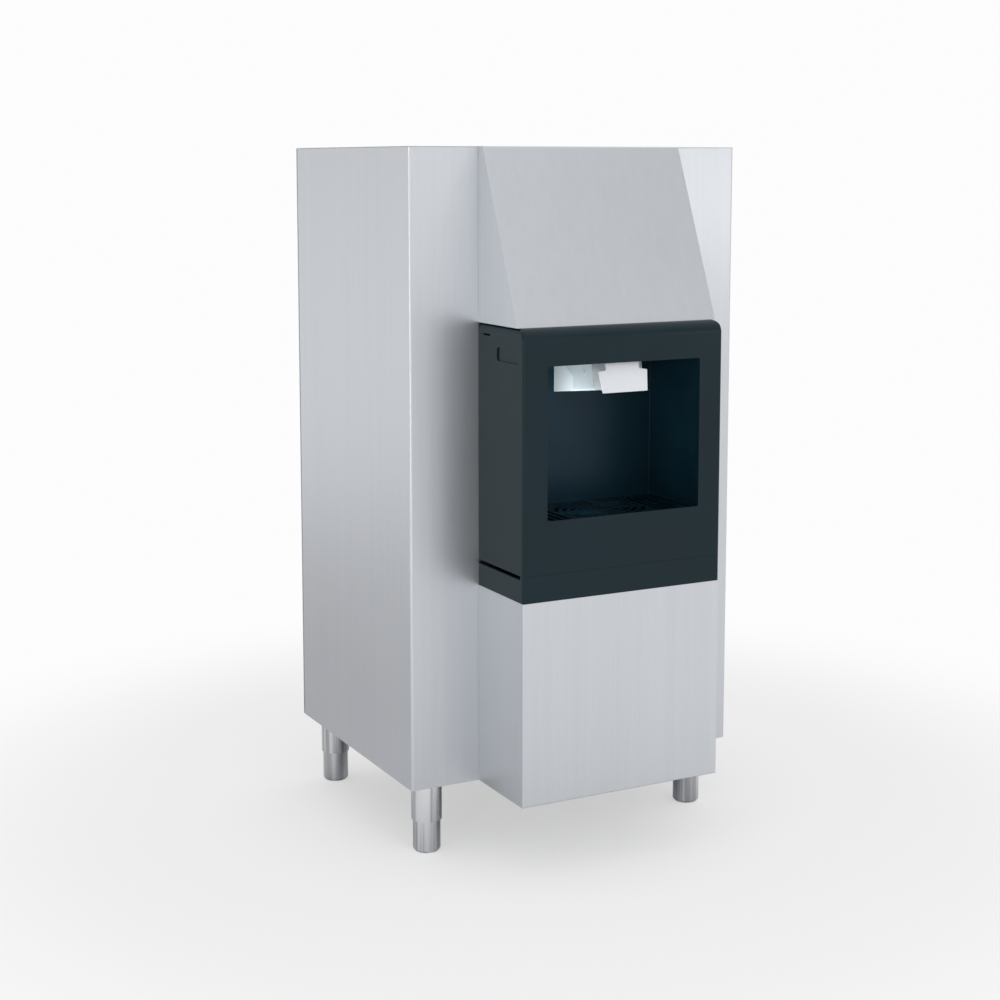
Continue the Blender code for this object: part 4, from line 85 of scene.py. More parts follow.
class Value:
    """A number socket on which Python's operators add Math nodes."""

    def __init__(self, recipe: "Recipe", socket: bpy.types.NodeSocket) -> None:
        """Wrap a socket.

        Args:
            recipe: The node tree's builder.
            socket: An output that holds a number.
        """
        self.recipe = recipe
        self.socket = socket

    def _math(self, operation: str, first: "Value | float", second: "Value | float") -> "Value":
        """Add one Math node.

        Args:
            operation: The node's operation.
            first: Its first input.
            second: Its second input.

        Returns:
            The result.
        """
        node = self.recipe.node("ShaderNodeMath", {"operation": operation}, {0: first, 1: second})
        return Value(self.recipe, node.outputs[0])

    def __add__(self, other: "Value | float") -> "Value":
        """Sum."""
        return self._math("ADD", self, other)

    __radd__ = __add__

    def __sub__(self, other: "Value | float") -> "Value":
        """Difference."""
        return self._math("SUBTRACT", self, other)

    def __rsub__(self, other: float) -> "Value":
        """Difference from a number."""
        return self._math("SUBTRACT", other, self)

    def __mul__(self, other: "Value | float") -> "Value":
        """Product."""
        return self._math("MULTIPLY", self, other)

    __rmul__ = __mul__

    def between(self, low: float, high: float) -> "Value":
        """A smooth rise from 0 at low to 1 at high.

        Args:
            low: Where it starts.
            high: Where it ends.

        Returns:
            The smoothed value.
        """
        node = self.recipe.node(
            "ShaderNodeMapRange", {"interpolation_type": "SMOOTHSTEP"},
            {"Value": self, "From Min": low, "From Max": high},
        )
        return Value(self.recipe, node.outputs["Result"])


class Recipe:
    """Builds one node tree."""

    def __init__(self, tree: bpy.types.NodeTree) -> None:
        """Start on a tree.

        Args:
            tree: The tree that gets the nodes.
        """
        self.tree = tree

    def node(self, kind: str, settings: dict | None = None,
             inputs: dict | None = None) -> bpy.types.Node:
        """Add a node, set it up, then feed its sockets.

        Args:
            kind: The node's type.
            settings: Its properties; a ramp's stops go in as "stops".
            inputs: Values, sockets or Value objects by socket name or number.

        Returns:
            The node.
        """
        made = self.tree.nodes.new(kind)
        for key, value in (settings or {}).items():
            if key == "stops":
                self._set_stops(made, value)
            else:
                setattr(made, key, value)
        for key, value in (inputs or {}).items():
            if isinstance(value, Value):
                value = value.socket
            if isinstance(value, bpy.types.NodeSocket):
                self.tree.links.new(value, made.inputs[key])
            else:
                made.inputs[key].default_value = value
        return made

    @staticmethod
    def _set_stops(ramp: bpy.types.Node, stops: Sequence[tuple[float, Colour]]) -> None:
        """Write a colour ramp's stops.

        Args:
            ramp: The ramp node.
            stops: Place and colour of each stop.
        """
        elements = ramp.color_ramp.elements
        while len(elements) < len(stops):
            elements.new(0.5)
        for element, (place, colour) in zip(elements, stops):
            element.position = place
            element.color = (*colour, 1)

    def place(self, stretch: Point = (1, 1, 1)) -> bpy.types.NodeSocket:
        """The point on the piece in metres, stretched along the axes.

        Args:
            stretch: Scale along each axis.

        Returns:
            A vector socket.
        """
        point = self.node("ShaderNodeTexCoord").outputs["Object"]
        if stretch == (1, 1, 1):
            return point
        node = self.node("ShaderNodeVectorMath", {"operation": "MULTIPLY"}, {0: point, 1: stretch})
        return node.outputs[0]

    def noise(self, scale: float, detail: float = 2.0, stretch: Point = (1, 1, 1)) -> Value:
        """Soft noise over the piece.

        Args:
            scale: Waves a metre before the stretch.
            detail: Octaves.
            stretch: Scale along each axis.

        Returns:
            A value near 0.5.
        """
        node = self.node(
            "ShaderNodeTexNoise", {},
            {"Vector": self.place(stretch), "Scale": scale, "Detail": detail},
        )
        return Value(self, node.outputs["Fac"])

    def blend(self, share: Value, first: Colour, second: Colour) -> bpy.types.NodeSocket:
        """Mix two colours.

        Args:
            share: How much of the second.
            first: A colour.
            second: A colour.

        Returns:
            A colour socket.
        """
        node = self.node(
            "ShaderNodeMix", {"data_type": "RGBA"}, {0: share, 6: (*first, 1), 7: (*second, 1)})
        return node.outputs[2]

    def relief(self, height: Value, strength: float, distance: float) -> bpy.types.NodeSocket:
        """Bump from a height.

        Args:
            height: The height.
            strength: How much of it shows.
            distance: Metres that a height of 1 stands for.

        Returns:
            A normal socket.
        """
        node = self.node(
            "ShaderNodeBump", {}, {"Height": height, "Strength": strength, "Distance": distance})
        return node.outputs["Normal"]


def new_material(name: str) -> tuple[bpy.types.Material, Recipe, bpy.types.Node]:
    """A material with a bare Principled shader.

    Args:
        name: Its name.

    Returns:
        The material, its recipe and the shader.
    """
    material = bpy.data.materials.new(name)
    material.use_nodes = True
    return material, Recipe(material.node_tree), material.node_tree.nodes["Principled BSDF"]


def connect(recipe: Recipe, shader: bpy.types.Node, **feeds: object) -> None:
    """Feed a shader's sockets, named with underscores.

    Args:
        recipe: The tree's builder.
        shader: The Principled shader.
        feeds: Values or sockets by input name.
    """
    for key, value in feeds.items():
        target = shader.inputs[key.replace("_", " ").title()]
        if isinstance(value, Value):
            value = value.socket
        if isinstance(value, bpy.types.NodeSocket):
            recipe.tree.links.new(value, target)
        else:
            target.default_value = value


# Finishes


@dataclass(frozen=True)
class BrushedSheet:
    """Stainless sheet brushed one way."""

    name: str = "brushed_stainless"
    colour: Colour = (0.715, 0.735, 0.76)
    shade: Colour = (0.66, 0.685, 0.715)
    roughness: float = 0.36
    grain_depth: float = 0.4
    grain: Point = (1500.0, 1500.0, 9.0)
    band_share: float = 0.05
    scratch_height: float = 0.0002
    metallic: float = 0.85

    def material(self) -> bpy.types.Material:
        """Long fine scratches, faint rolling bands and a few handling smears.

        Returns:
            The material.
        """
        material, recipe, shader = new_material(self.name)
        scratches = recipe.noise(1.0, 3.0, self.grain)
        bands = recipe.noise(1.0, 2.0, tuple(value * self.band_share for value in self.grain))
        smears = recipe.noise(3.0, 3.0)
        tone = (scratches * 0.55 + bands * 0.25 + smears * 0.2).between(0.30, 0.70)
        height = scratches * 0.8 + bands * 0.2
        connect(
            recipe, shader,
            base_color=recipe.blend(tone, self.shade, self.colour),
            metallic=self.metallic,
            roughness=scratches * 0.12 + smears * 0.06 + (self.roughness - 0.09),
            normal=recipe.relief(height, self.grain_depth, self.scratch_height),
        )
        return material


@dataclass(frozen=True)
class PolishedSteel:
    """Bright turned or drawn steel."""

    name: str
    colour: Colour = (0.66, 0.67, 0.69)
    roughness: float = 0.16
    stretch: Point = (60.0, 60.0, 2200.0)
    line_depth: float = 0.08
    line_height: float = 0.0002
    patch_scale: float = 45.0
    stain: float = 0.14

    def material(self) -> bpy.types.Material:
        """Fine turning lines and slight staining.

        Returns:
            The material.
        """
        material, recipe, shader = new_material(self.name)
        lines = recipe.noise(1.0, 2.0, self.stretch)
        patch = recipe.noise(self.patch_scale, 4.0)
        dark = tuple(value * (1 - self.stain) for value in self.colour)
        connect(
            recipe, shader,
            base_color=recipe.blend(patch.between(0.35, 0.65), dark, self.colour),
            metallic=1.0,
            roughness=lines * 0.08 + patch * 0.06 + (self.roughness - 0.07),
            normal=recipe.relief(lines, self.line_depth, self.line_height),
        )
        return material


@dataclass(frozen=True)
class TubeWithPaintedReflectionStreaks:
    """Polished steel tube with lengthwise streaks, partly the grain of its drawing and partly a
    painted reflection.
    """

    name: str
    dark: Colour = (0.58, 0.59, 0.60)
    bright: Colour = (0.97, 0.98, 0.99)
    roughness: float = 0.12
    stretch: Point = (80.0, 80.0, 2.0)
    streak_depth: float = 0.3
    streak_height: float = 0.0004
    patch_scale: float = 45.0

    def material(self) -> bpy.types.Material:
        """Lengthwise streaks of lighter and darker steel: drawing grain, and a painted reflection
        of bright and dark lines along the tube.

        Returns:
            The material.
        """
        material, recipe, shader = new_material(self.name)
        grain_and_painted_reflection_streaks = recipe.noise(1.0, 2.5, self.stretch)
        patch = recipe.noise(self.patch_scale, 4.0)
        connect(
            recipe, shader,
            # painted reflection: the strong bright and dark streaks in the base colour stand in for
            # reflected light as well as drawing grain
            base_color=recipe.blend(grain_and_painted_reflection_streaks.between(0.40, 0.62), self.dark, self.bright),
            metallic=1.0,
            roughness=grain_and_painted_reflection_streaks * 0.08 + patch * 0.06 + (self.roughness - 0.07),
            normal=recipe.relief(grain_and_painted_reflection_streaks, self.streak_depth, self.streak_height),
        )
        return material


@dataclass(frozen=True)
class ZincSheet:
    """Galvanised sheet with its spangle."""

    name: str = "zinc_sheet"
    light: Colour = (0.52, 0.54, 0.56)
    dark: Colour = (0.36, 0.38, 0.40)
    flake_scale: float = 90.0

    def material(self) -> bpy.types.Material:
        """Crystal flakes of slightly different tone.

        Returns:
            The material.
        """
        material, recipe, shader = new_material(self.name)
        cells = recipe.node(
            "ShaderNodeTexVoronoi", {}, {"Vector": recipe.place(), "Scale": self.flake_scale})
        parts = recipe.node("ShaderNodeSeparateColor", {}, {0: cells.outputs["Color"]})
        tone = Value(recipe, parts.outputs[0])
        dust = recipe.noise(14.0, 4.0)
        connect(
            recipe, shader,
            base_color=recipe.blend(tone * 0.6 + dust * 0.4, self.dark, self.light),
            metallic=1.0,
            roughness=tone * 0.14 + dust * 0.12 + 0.34,
            normal=recipe.relief(tone, 0.05, 0.0003),
        )
        return material


@dataclass(frozen=True)
class Moulding:
    """Moulded or extruded plastic with a fine skin."""

    name: str
    colour: Colour
    roughness: float = 0.38
    grain_scale: float = 1400.0
    grain_depth: float = 0.12
    mottle: float = 0.10
    coat: float = 0.0
    gloss: float = 0.5
    pebble_height: float = 0.0002

    def material(self) -> bpy.types.Material:
        """A pebbled skin, uneven gloss and a little dust in the tone.

        Returns:
            The material.
        """
        material, recipe, shader = new_material(self.name)
        pebble = recipe.noise(self.grain_scale, 2.0)
        flow = recipe.noise(9.0, 3.0)
        low = tuple(value * (1 - self.mottle) for value in self.colour)
        high = tuple(min(1.0, value * (1 + self.mottle * 0.5)) for value in self.colour)
        connect(
            recipe, shader,
            base_color=recipe.blend(flow.between(0.3, 0.7), low, high),
            roughness=pebble * 0.06 + flow * 0.08 + (self.roughness - 0.07),
            normal=recipe.relief(pebble, self.grain_depth, self.pebble_height),
            coat_weight=self.coat,
        )
        shader.inputs["Specular IOR Level"].default_value = self.gloss
        return material


@dataclass(frozen=True)
class Foam:
    """Poured insulation."""

    name: str = "foam"
    light: Colour = (0.78, 0.71, 0.48)
    dark: Colour = (0.60, 0.50, 0.28)
    cell_scale: float = 420.0
    cell_height: float = 0.002

    def material(self) -> bpy.types.Material:
        """Open cells and darker skin patches.

        Returns:
            The material.
        """
        material, recipe, shader = new_material(self.name)
        cells = recipe.node(
            "ShaderNodeTexVoronoi", {}, {"Vector": recipe.place(), "Scale": self.cell_scale})
        patches = recipe.noise(16.0, 4.0)
        connect(
            recipe, shader,
            base_color=recipe.blend(patches.between(0.35, 0.65), self.light, self.dark),
            roughness=patches * 0.1 + 0.8,
            normal=recipe.relief(Value(recipe, cells.outputs["Distance"]), 0.5, self.cell_height),
        )
        return material


@dataclass(frozen=True)
class BoardLacquer:
    """The control board's green lacquer with its copper tracks."""

    name: str = "green_board"
    lacquer: Colour = (0.012, 0.07, 0.035)
    track: Colour = (0.03, 0.16, 0.07)
    track_height: float = 0.0001

    def material(self) -> bpy.types.Material:
        """Straight tracks a little lighter than the board.

        Returns:
            The material.
        """
        material, recipe, shader = new_material(self.name)
        wave = recipe.node("ShaderNodeTexWave", {"bands_direction": "X"},
                           {"Vector": recipe.place(), "Scale": 110.0, "Distortion": 1.5})
        tracks = Value(recipe, wave.outputs["Fac"]).between(0.72, 0.80)
        connect(
            recipe, shader,
            base_color=recipe.blend(tracks, self.lacquer, self.track),
            roughness=tracks * 0.1 + 0.28,
            normal=recipe.relief(tracks, 0.3, self.track_height),
        )
        return material


BLUE_BLACK: Colour = (0.004, 0.018, 0.025)

FINISHES: dict[str, object] = {
    "brushed_stainless": BrushedSheet(),
    "brushed_across": BrushedSheet("brushed_across", grain=(9.0, 1500.0, 1500.0)),
    "zinc_sheet": ZincSheet(),
    "leg_steel": TubeWithPaintedReflectionStreaks("leg_steel"),
    "bright_steel": PolishedSteel("bright_steel", (0.62, 0.63, 0.65), 0.2, (2200.0, 60.0, 2200.0)),
    "white_plastic": Moulding("white_plastic", (0.80, 0.83, 0.86), 0.30, 900.0, 0.05, 0.04, 0.2),
    # painted shade: a slightly greyer copy of the white plastic for the chute, its shading painted
    # into the colour
    "chute_plastic": Moulding("chute_plastic", (0.78, 0.82, 0.83), 0.34, 900.0, 0.05, 0.06, 0.1),
    "black_plastic": Moulding("black_plastic", BLUE_BLACK, 0.34, 1600.0, 0.08, 0.12, gloss=0.24),
    "alcove_plastic": Moulding(
        "alcove_plastic", (0.003, 0.014, 0.022), 0.30, 900.0, 0.04, 0.15, gloss=0.22),
    "grey_nylon": Moulding("grey_nylon", (0.62, 0.63, 0.61), 0.45),
    "clear_vinyl": Moulding("clear_vinyl", (0.50, 0.53, 0.53), 0.25, 500.0, 0.05, 0.08, 0.4),
    "dark_rubber": Moulding("dark_rubber", (0.03, 0.03, 0.032), 0.60, 2400.0, 0.3),
    "foam": Foam(),
    "bracket_paint": Moulding("bracket_paint", (0.60, 0.66, 0.68), 0.40, 1200.0, 0.10, 0.06),
    "black_switch": Moulding("black_switch", (0.015, 0.015, 0.016), 0.42),
    "red_rocker": Moulding("red_rocker", (0.45, 0.03, 0.02), 0.30, 900.0, 0.05),
    "motor_paint": Moulding("motor_paint", (0.07, 0.09, 0.12), 0.45, 700.0, 0.35, 0.2),
    "coil_tape": Moulding("coil_tape", (0.12, 0.09, 0.03), 0.5, 500.0, 0.4),
    "green_board": BoardLacquer(),
}


class Paints:
    """Makes each finish once and hands it out."""

    def __init__(self) -> None:
        """Start with no material made."""
        self.made: dict[str, bpy.types.Material] = {}

    def get(self, name: str) -> bpy.types.Material:
        """The material of a finish.

        Args:
            name: A key of FINISHES.

        Returns:
            The material.
        """
        if name not in self.made:
            self.made[name] = FINISHES[name].material()
        return self.made[name]


PAINTS = Paints()


# Mesh tools


def applied(item: bpy.types.Object) -> None:
    """Turn a piece's modifiers into plain mesh.

    Args:
        item: The piece.
    """
    bpy.context.view_layer.update()
    graph = bpy.context.evaluated_depsgraph_get()
    mesh = bpy.data.meshes.new_from_object(item.evaluated_get(graph))
    mesh.name = item.name
    item.modifiers.clear()
    item.data = mesh


def finished(item: bpy.types.Object, paint: str, body: str, slot: str, *nodes: str,
             crease: float = 32.0) -> bpy.types.Object:
    """Apply a piece's modifiers, shade it, paint it and put it on its body.

    Args:
        item: The piece.
        paint: Its finish.
        body: The body it rides on.
        slot: The record's material slot; not used.
        nodes: The CAD nodes it stands for.
        crease: Edges sharper than this stay sharp, in degrees.

    Returns:
        The piece.
    """
    applied(item)
    item.data.shade_smooth()
    item.data.set_sharp_from_angle(angle=math.radians(crease))
    weigh = item.modifiers.new("weigh", "WEIGHTED_NORMAL")
    weigh.keep_sharp = True
    applied(item)
    item.data.materials.clear()
    item.data.materials.append(PAINTS.get(paint))
    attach(item, body)
    if nodes:
        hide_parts(*nodes)
    LOG.info("%s: %d faces on %s", item.name, len(item.data.polygons), body)
    return item


def from_bmesh(bm: bmesh.types.BMesh, name: str, closed: bool = True) -> bpy.types.Object:
    """Make an object of a bmesh.

    Args:
        bm: The bmesh, freed afterwards.
        name: The object's name.
        closed: Whether it is a closed shape, whose faces are turned to point out.

    Returns:
        The object.
    """
    bm.normal_update()
    if closed:
        bmesh.ops.recalc_face_normals(bm, faces=bm.faces)
    mesh = bpy.data.meshes.new(name)
    bm.to_mesh(mesh)
    bm.free()
    item = bpy.data.objects.new(name, mesh)
    bpy.context.scene.collection.objects.link(item)
    return item


def drawn(outline: Sequence[Flat], low: float, high: float, axis: Axis) -> bmesh.types.BMesh:
    """A closed prism of an outline.

    Args:
        outline: Corners in the plane across the axis.
        low: Where it starts along the axis.
        high: Where it ends.
        axis: The direction.

    Returns:
        A bmesh in the row frame.
    """
    bm = bmesh.new()
    turn = axis.frame()
    rings = [
        [bm.verts.new(turn @ Vector((u, v, along))) for u, v in outline] for along in (low, high)
    ]
    bm.faces.new(rings[0])
    bm.faces.new(rings[1][::-1])
    count = len(outline)
    for index in range(count):
        after = (index + 1) % count
        bm.faces.new((rings[0][index], rings[1][index], rings[1][after], rings[0][after]))
    bm.normal_update()
    bmesh.ops.recalc_face_normals(bm, faces=bm.faces)
    return bm


def rounded(corners: Sequence[Flat], radius: float, steps: int = 6,
            closed: bool = True) -> list[Flat]:
    """Round the corners of an outline or path.

    Args:
        corners: The sharp corners.
        radius: The radius of every corner.
        steps: Faces in each corner.
        closed: False for an open path.

    Returns:
        The points.
    """
    points: list[Flat] = []
    count = len(corners)
    for index, corner in enumerate(corners):
        here = Vector(corner)
        if not closed and index in (0, count - 1):
            points.append(tuple(here))
            continue
        last = (Vector(corners[index - 1]) - here).normalized()
        following = (Vector(corners[(index + 1) % count]) - here).normalized()
        half = last.angle(following) / 2
        middle = here + (last + following).normalized() * (radius / math.sin(half))
        first = here + last * (radius / math.tan(half)) - middle
        turn = first.angle_signed(here + following * (radius / math.tan(half)) - middle)
        turns = [Matrix.Rotation(-turn * step / steps, 2) for step in range(steps + 1)]
        points += [tuple(middle + rotation @ first) for rotation in turns]
    return points


def rectangle(left: float, right: float, low: float, high: float) -> list[Flat]:
    """Corners of a rectangle."""
    return [(left, low), (right, low), (right, high), (left, high)]


def cutter(bm: bmesh.types.BMesh) -> bpy.types.Object:
    """A helper object that a Boolean takes away."""
    return from_bmesh(bm, "cutter")


def cut(item: bpy.types.Object, *tools: bpy.types.Object) -> None:
    """Take shapes out of a piece and delete them.

    Args:
        item: The piece.
        tools: The shapes.
    """
    for tool in tools:
        boolean = item.modifiers.new("cut", "BOOLEAN")
        boolean.operation = "DIFFERENCE"
        boolean.object = tool
        applied(item)
        bpy.data.objects.remove(tool)


def soften(item: bpy.types.Object, width: float, segments: int = 2, angle: float = 38.0) -> None:
    """Round every sharp edge of a piece a little.

    Args:
        item: The piece.
        width: How far the rounding reaches.
        segments: Faces across it.
        angle: Edges flatter than this stay, in degrees.
    """
    bevel = item.modifiers.new("soften", "BEVEL")
    bevel.width = width
    bevel.segments = segments
    bevel.limit_method = "ANGLE"
    bevel.angle_limit = math.radians(angle)
    bevel.use_clamp_overlap = True


def wall(item: bpy.types.Object, thickness: float, offset: float = -1.0) -> None:
    """Give an open surface a thickness.

    Args:
        item: The surface.
        thickness: The wall.
        offset: -1 inward, 1 outward.
    """
    solid = item.modifiers.new("wall", "SOLIDIFY")
    solid.thickness = thickness
    solid.offset = offset
    solid.use_even_offset = True


def lofted(rings: Sequence[Sequence[Point]], name: str, capped: bool = False) -> bpy.types.Object:
    """An open sheet through open outlines of equal length.

    Args:
        rings: The outlines from the foot up, each counter-clockwise seen from above.
        name: The piece's name.
        capped: Whether the last outline is closed with a face.

    Returns:
        The sheet, its normals outward.
    """
    bm = bmesh.new()
    rows = [[bm.verts.new(point) for point in ring] for ring in rings]
    for foot, head in zip(rows, rows[1:]):
        for index in range(len(foot) - 1):
            bm.faces.new((foot[index], foot[index + 1], head[index + 1], head[index]))
    if capped:
        bm.faces.new(rows[-1])
    return from_bmesh(bm, name, False)


def refined_copy(node: str, width: float) -> bpy.types.Object:
    """A copy of a CAD node's shape with its sharp edges rounded, kept inside the node's box.

    Args:
        node: The node.
        width: How far the rounding reaches.

    Returns:
        The new object.
    """
    bm = bmesh.new()
    bm.from_mesh(frame["nodes"][node].data)
    bmesh.ops.remove_doubles(bm, verts=bm.verts, dist=MERGE)
    flat = math.radians(FLAT_ANGLE)
    bmesh.ops.dissolve_limit(bm, angle_limit=flat, verts=bm.verts, edges=bm.edges)
    item = from_bmesh(bm, node + "_finished")
    soften(item, width)
    applied(item)
    low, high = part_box(node)
    for vertex in item.data.vertices:
        vertex.co = [min(max(here, least), most) for here, least, most in zip(vertex.co, low, high)]
    return item


def edge_run(edge: bmesh.types.BMEdge) -> tuple[Vector, Vector]:
    """The middle of an edge and its direction."""
    first, second = (vert.co for vert in edge.verts)
    return (first + second) / 2, (second - first).normalized()


def fold_across(height: float, limit: float) -> Callable[[bmesh.types.BMEdge], bool]:
    """A test for the fold that runs from side to side.

    Args:
        height: The fold's z.
        limit: The y that the fold stays in front of.

    Returns:
        The test.
    """
    def test(edge: bmesh.types.BMEdge) -> bool:
        """True for that fold."""
        middle, along = edge_run(edge)
        return abs(along.x) > ALIGNED and abs(middle.z - height) < GAP and middle.y < limit

    return test


# Cabinet


@dataclass
class Cabinet:
    """The folded stainless cabinet."""

    fold: float = 0.006
    hem: float = 0.020
    steps: int = 10
    sheet: float = 0.0012
    edge: float = 0.0004
    slack: float = 0.00005

    def side(self, node: str, side: int) -> bpy.types.Object:
        """One side panel with its rolled front fold.

        Args:
            node: The CAD node it stands for.
            side: -1 for the left, 1 for the right.

        Returns:
            The panel.
        """
        low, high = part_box(node)
        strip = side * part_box("hood")[1].x
        outer = side * (max(abs(low.x), abs(high.x)) - self.slack)
        hem = outer - side * self.hem
        corners = [(hem, high.y), (outer, high.y), (outer, low.y), (strip, low.y)]
        path = rounded(corners, self.fold, self.steps, False)
        item = lofted([[(x, y, z) for x, y in path] for z in (low.z, high.z)], node + "_folded")
        wall(item, self.sheet, side)
        return finished(item, "brushed_stainless", CABINET, "brushed_stainless", node)

    def build(self) -> None:
        """Dress the sides, top, back and base."""
        self.side("left_side_panel", -1)
        self.side("right_side_panel", 1)
        top = refined_copy("top_frame", self.edge)
        finished(top, "brushed_across", CABINET, "brushed_stainless", "top_frame")
        back = refined_copy("rear_panel", self.edge)
        finished(back, "brushed_stainless", CABINET, "brushed_stainless", "rear_panel")
        base = refined_copy("base_pan", self.edge)
        finished(base, "zinc_sheet", CABINET, "zinc_sheet", "base_pan")


# Module


@dataclass
class Module:
    """The proud module: hood, black bezel and band, and the lower panel."""

    half: float = field(default_factory=lambda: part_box("bezel")[1].x)
    front: float = field(default_factory=lambda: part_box("bezel")[0].y)
    back: float = field(default_factory=lambda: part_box("bezel")[1].y)
    crease_z: float = 1.0377
    hood_top_reach: float = 0.019
    steel_fold: float = 0.0025
    fold_steps: int = 5
    moulded_edge: float = 0.006
    bezel_edge: float = 0.0007
    band_edge: float = 0.0006
    shoulder: float = 0.012
    brow_steps: int = 14
    steel_wall: float = 0.0012
    moulded_wall: float = 0.003
    opening_half: float = 0.175
    opening_low: float = 0.723
    opening_high: float = 1.026
    opening_corner: float = 0.004
    seam_cover: float = 0.0019
    header_wall: float = 0.012
    grip: tuple[float, float, float, float] = (0.081, 0.171, 1.030, 1.057)
    grip_depth: float = 0.0026
    grip_radius: float = 0.006
    slot: tuple[float, float, float, float] = (0.022, 0.052, 1.07625, 1.07975)
    slot_radius: float = 0.0015
    groove_height: float = 0.008
    groove_depth: float = 0.012

    def slope(self) -> float:
        """How fast the hood comes forward as it goes down.

        Returns:
            Metres forward for each metre down.
        """
        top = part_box("hood")[1].z
        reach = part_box("left_side_panel")[0].y - self.front
        return (reach - self.hood_top_reach) / (top - self.crease_z)

    def shell(self, name: str, profile: Sequence[Flat], opened: Callable[[Vector], bool],
              folds: Sequence[Callable[[bmesh.types.BMEdge], bool]]) -> bpy.types.Object:
        """A folded steel shell of the module.

        Args:
            name: The piece's name.
            profile: Side view, as (y, z).
            opened: True for the normal of a face that is left out.
            folds: Tests for the edges that are rounded, one after the other.

        Returns:
            The shell, with its wall as a modifier.
        """
        bm = drawn(profile, -self.half, self.half, Axis.X)
        for is_fold in folds:
            chosen = [edge for edge in bm.edges if is_fold(edge)]
            bmesh.ops.bevel(bm, geom=chosen, offset=self.steel_fold, segments=self.fold_steps,
                            profile=0.5, affect="EDGES")
        bm.normal_update()
        gone = [face for face in bm.faces if opened(face.normal)]
        bmesh.ops.delete(bm, geom=gone, context="FACES")
        item = from_bmesh(bm, name, False)
        wall(item, self.steel_wall)
        return item

    def header(self) -> float:
        """Where the hood's slope reaches the top of the bezel."""
        return self.front + self.slope() * (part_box("bezel")[1].z - self.crease_z)

    def is_corner(self, edge: bmesh.types.BMEdge) -> bool:
        """Tell the folds between the front or slope and a side.

        Args:
            edge: An edge of the shell.

        Returns:
            Whether it is one of them.
        """
        middle, along = edge_run(edge)
        at_side = abs(abs(middle.x) - self.half) < GAP
        return at_side and abs(along.z) > UPRIGHT and middle.y < self.back - GAP

    def brow_rings(self) -> list[list[Point]]:
        """The bezel's outlines in plan.

        Returns:
            The outlines, from the foot up over the rounded brow and shoulders.
        """
        low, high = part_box("bezel")
        header = self.header()
        brow = header - low.y
        turns = [math.pi / 2 * step / self.brow_steps for step in range(self.brow_steps + 1)]
        side_view = [(low.y, low.z - self.seam_cover)]
        side_view += [
            (header - brow * math.cos(turn), high.z - brow + brow * math.sin(turn))
            for turn in turns
        ]
        rings = []
        for y, z in side_view:
            rise = max(0.0, z - (high.z - self.shoulder))
            half = self.half - self.shoulder + math.sqrt(max(0.0, self.shoulder ** 2 - rise ** 2))
            corners = [(-half, high.y), (-half, y), (half, y), (half, high.y)]
            plan = rounded(corners, self.moulded_edge, closed=False)
            rings.append([(px, py, z) for px, py in plan])
        return rings

    def hood(self) -> None:
        """The sloped stainless hood."""
        low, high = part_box("hood")
        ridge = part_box("left_side_panel")[0].y - self.hood_top_reach
        profile = [(high.y, low.z), (low.y, low.z), (ridge, high.z), (high.y, high.z)]
        item = self.shell(
            "hood_folded", profile, lambda normal: normal.y > ALIGNED or normal.z < -ALIGNED,
            [self.is_corner, fold_across(high.z, high.y - GAP)],
        )
        finished(item, "brushed_stainless", CABINET, "brushed_stainless", "hood")

    def cut_sides(self, item: bpy.types.Object, outline: Sequence[Flat], depth: float) -> None:
        """Cut the same pocket into both sides.

        Args:
            item: The piece.
            outline: The pocket's outline, as (y, z).
            depth: How far in it goes.
        """
        for side in (-1, 1):
            reach = sorted((side * (self.half - depth), side * (self.half + OVERRUN)))
            cut(item, cutter(drawn(outline, *reach, Axis.X)))

    def bezel(self) -> None:
        """The black moulding with its opening, finger grips and side slots."""
        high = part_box("bezel")[1]
        item = lofted(self.brow_rings(), "bezel_moulded", True)
        wall(item, self.moulded_wall)
        half = self.opening_half
        opening = rounded(rectangle(-half, half, self.opening_low, self.opening_high),
                          self.opening_corner)
        depth = self.moulded_wall + OVERRUN
        cut(item, cutter(drawn(opening, self.front - OVERRUN, self.front + depth, Axis.Y)))
        ledge = self.moulded_wall + self.header_wall
        recess = rectangle(
            self.header() + ledge, high.y + OVERRUN, high.z - self.header_wall, high.z + OVERRUN)
        cut(item, cutter(drawn(recess, ledge - self.half, self.half - ledge, Axis.X)))
        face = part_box("left_side_panel")[0].y
        pockets = (
            (self.grip_depth, self.grip_radius, self.grip),
            (2 * ledge, self.slot_radius, self.slot),
        )
        for depth, radius, (near, far, foot, head) in pockets:
            outline = rounded(rectangle(face - far, face - near, foot, head), radius)
            self.cut_sides(item, outline, depth)
        soften(item, self.bezel_edge)
        finished(item, "black_plastic", CABINET, "black_plastic", "bezel")

    def band(self) -> None:
        """The black band below the seam."""
        item = refined_copy("lower_band", self.band_edge)
        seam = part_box("bezel")[0].z - self.seam_cover
        start = self.front + 2 * self.moulded_edge
        groove = rectangle(start, self.back + OVERRUN, seam - self.groove_height, seam)
        self.cut_sides(item, groove, self.groove_depth)
        finished(item, "black_plastic", CABINET, "black_plastic", "lower_band")

    def lower_panel(self) -> None:
        """The stainless box below the band."""
        low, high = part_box("lower_front_panel")
        profile = [(high.y, low.z), (low.y, low.z), (low.y, high.z), (high.y, high.z)]
        item = self.shell(
            "lower_panel_folded", profile, lambda normal: normal.y > ALIGNED or normal.z > ALIGNED,
            [self.is_corner, fold_across(low.z, low.y + GAP)],
        )
        finished(item, "brushed_stainless", CABINET, "brushed_stainless", "lower_front_panel")

    def build(self) -> None:
        """Make all four shells."""
        self.hood()
        self.bezel()
        self.band()
        self.lower_panel()


# Small parts


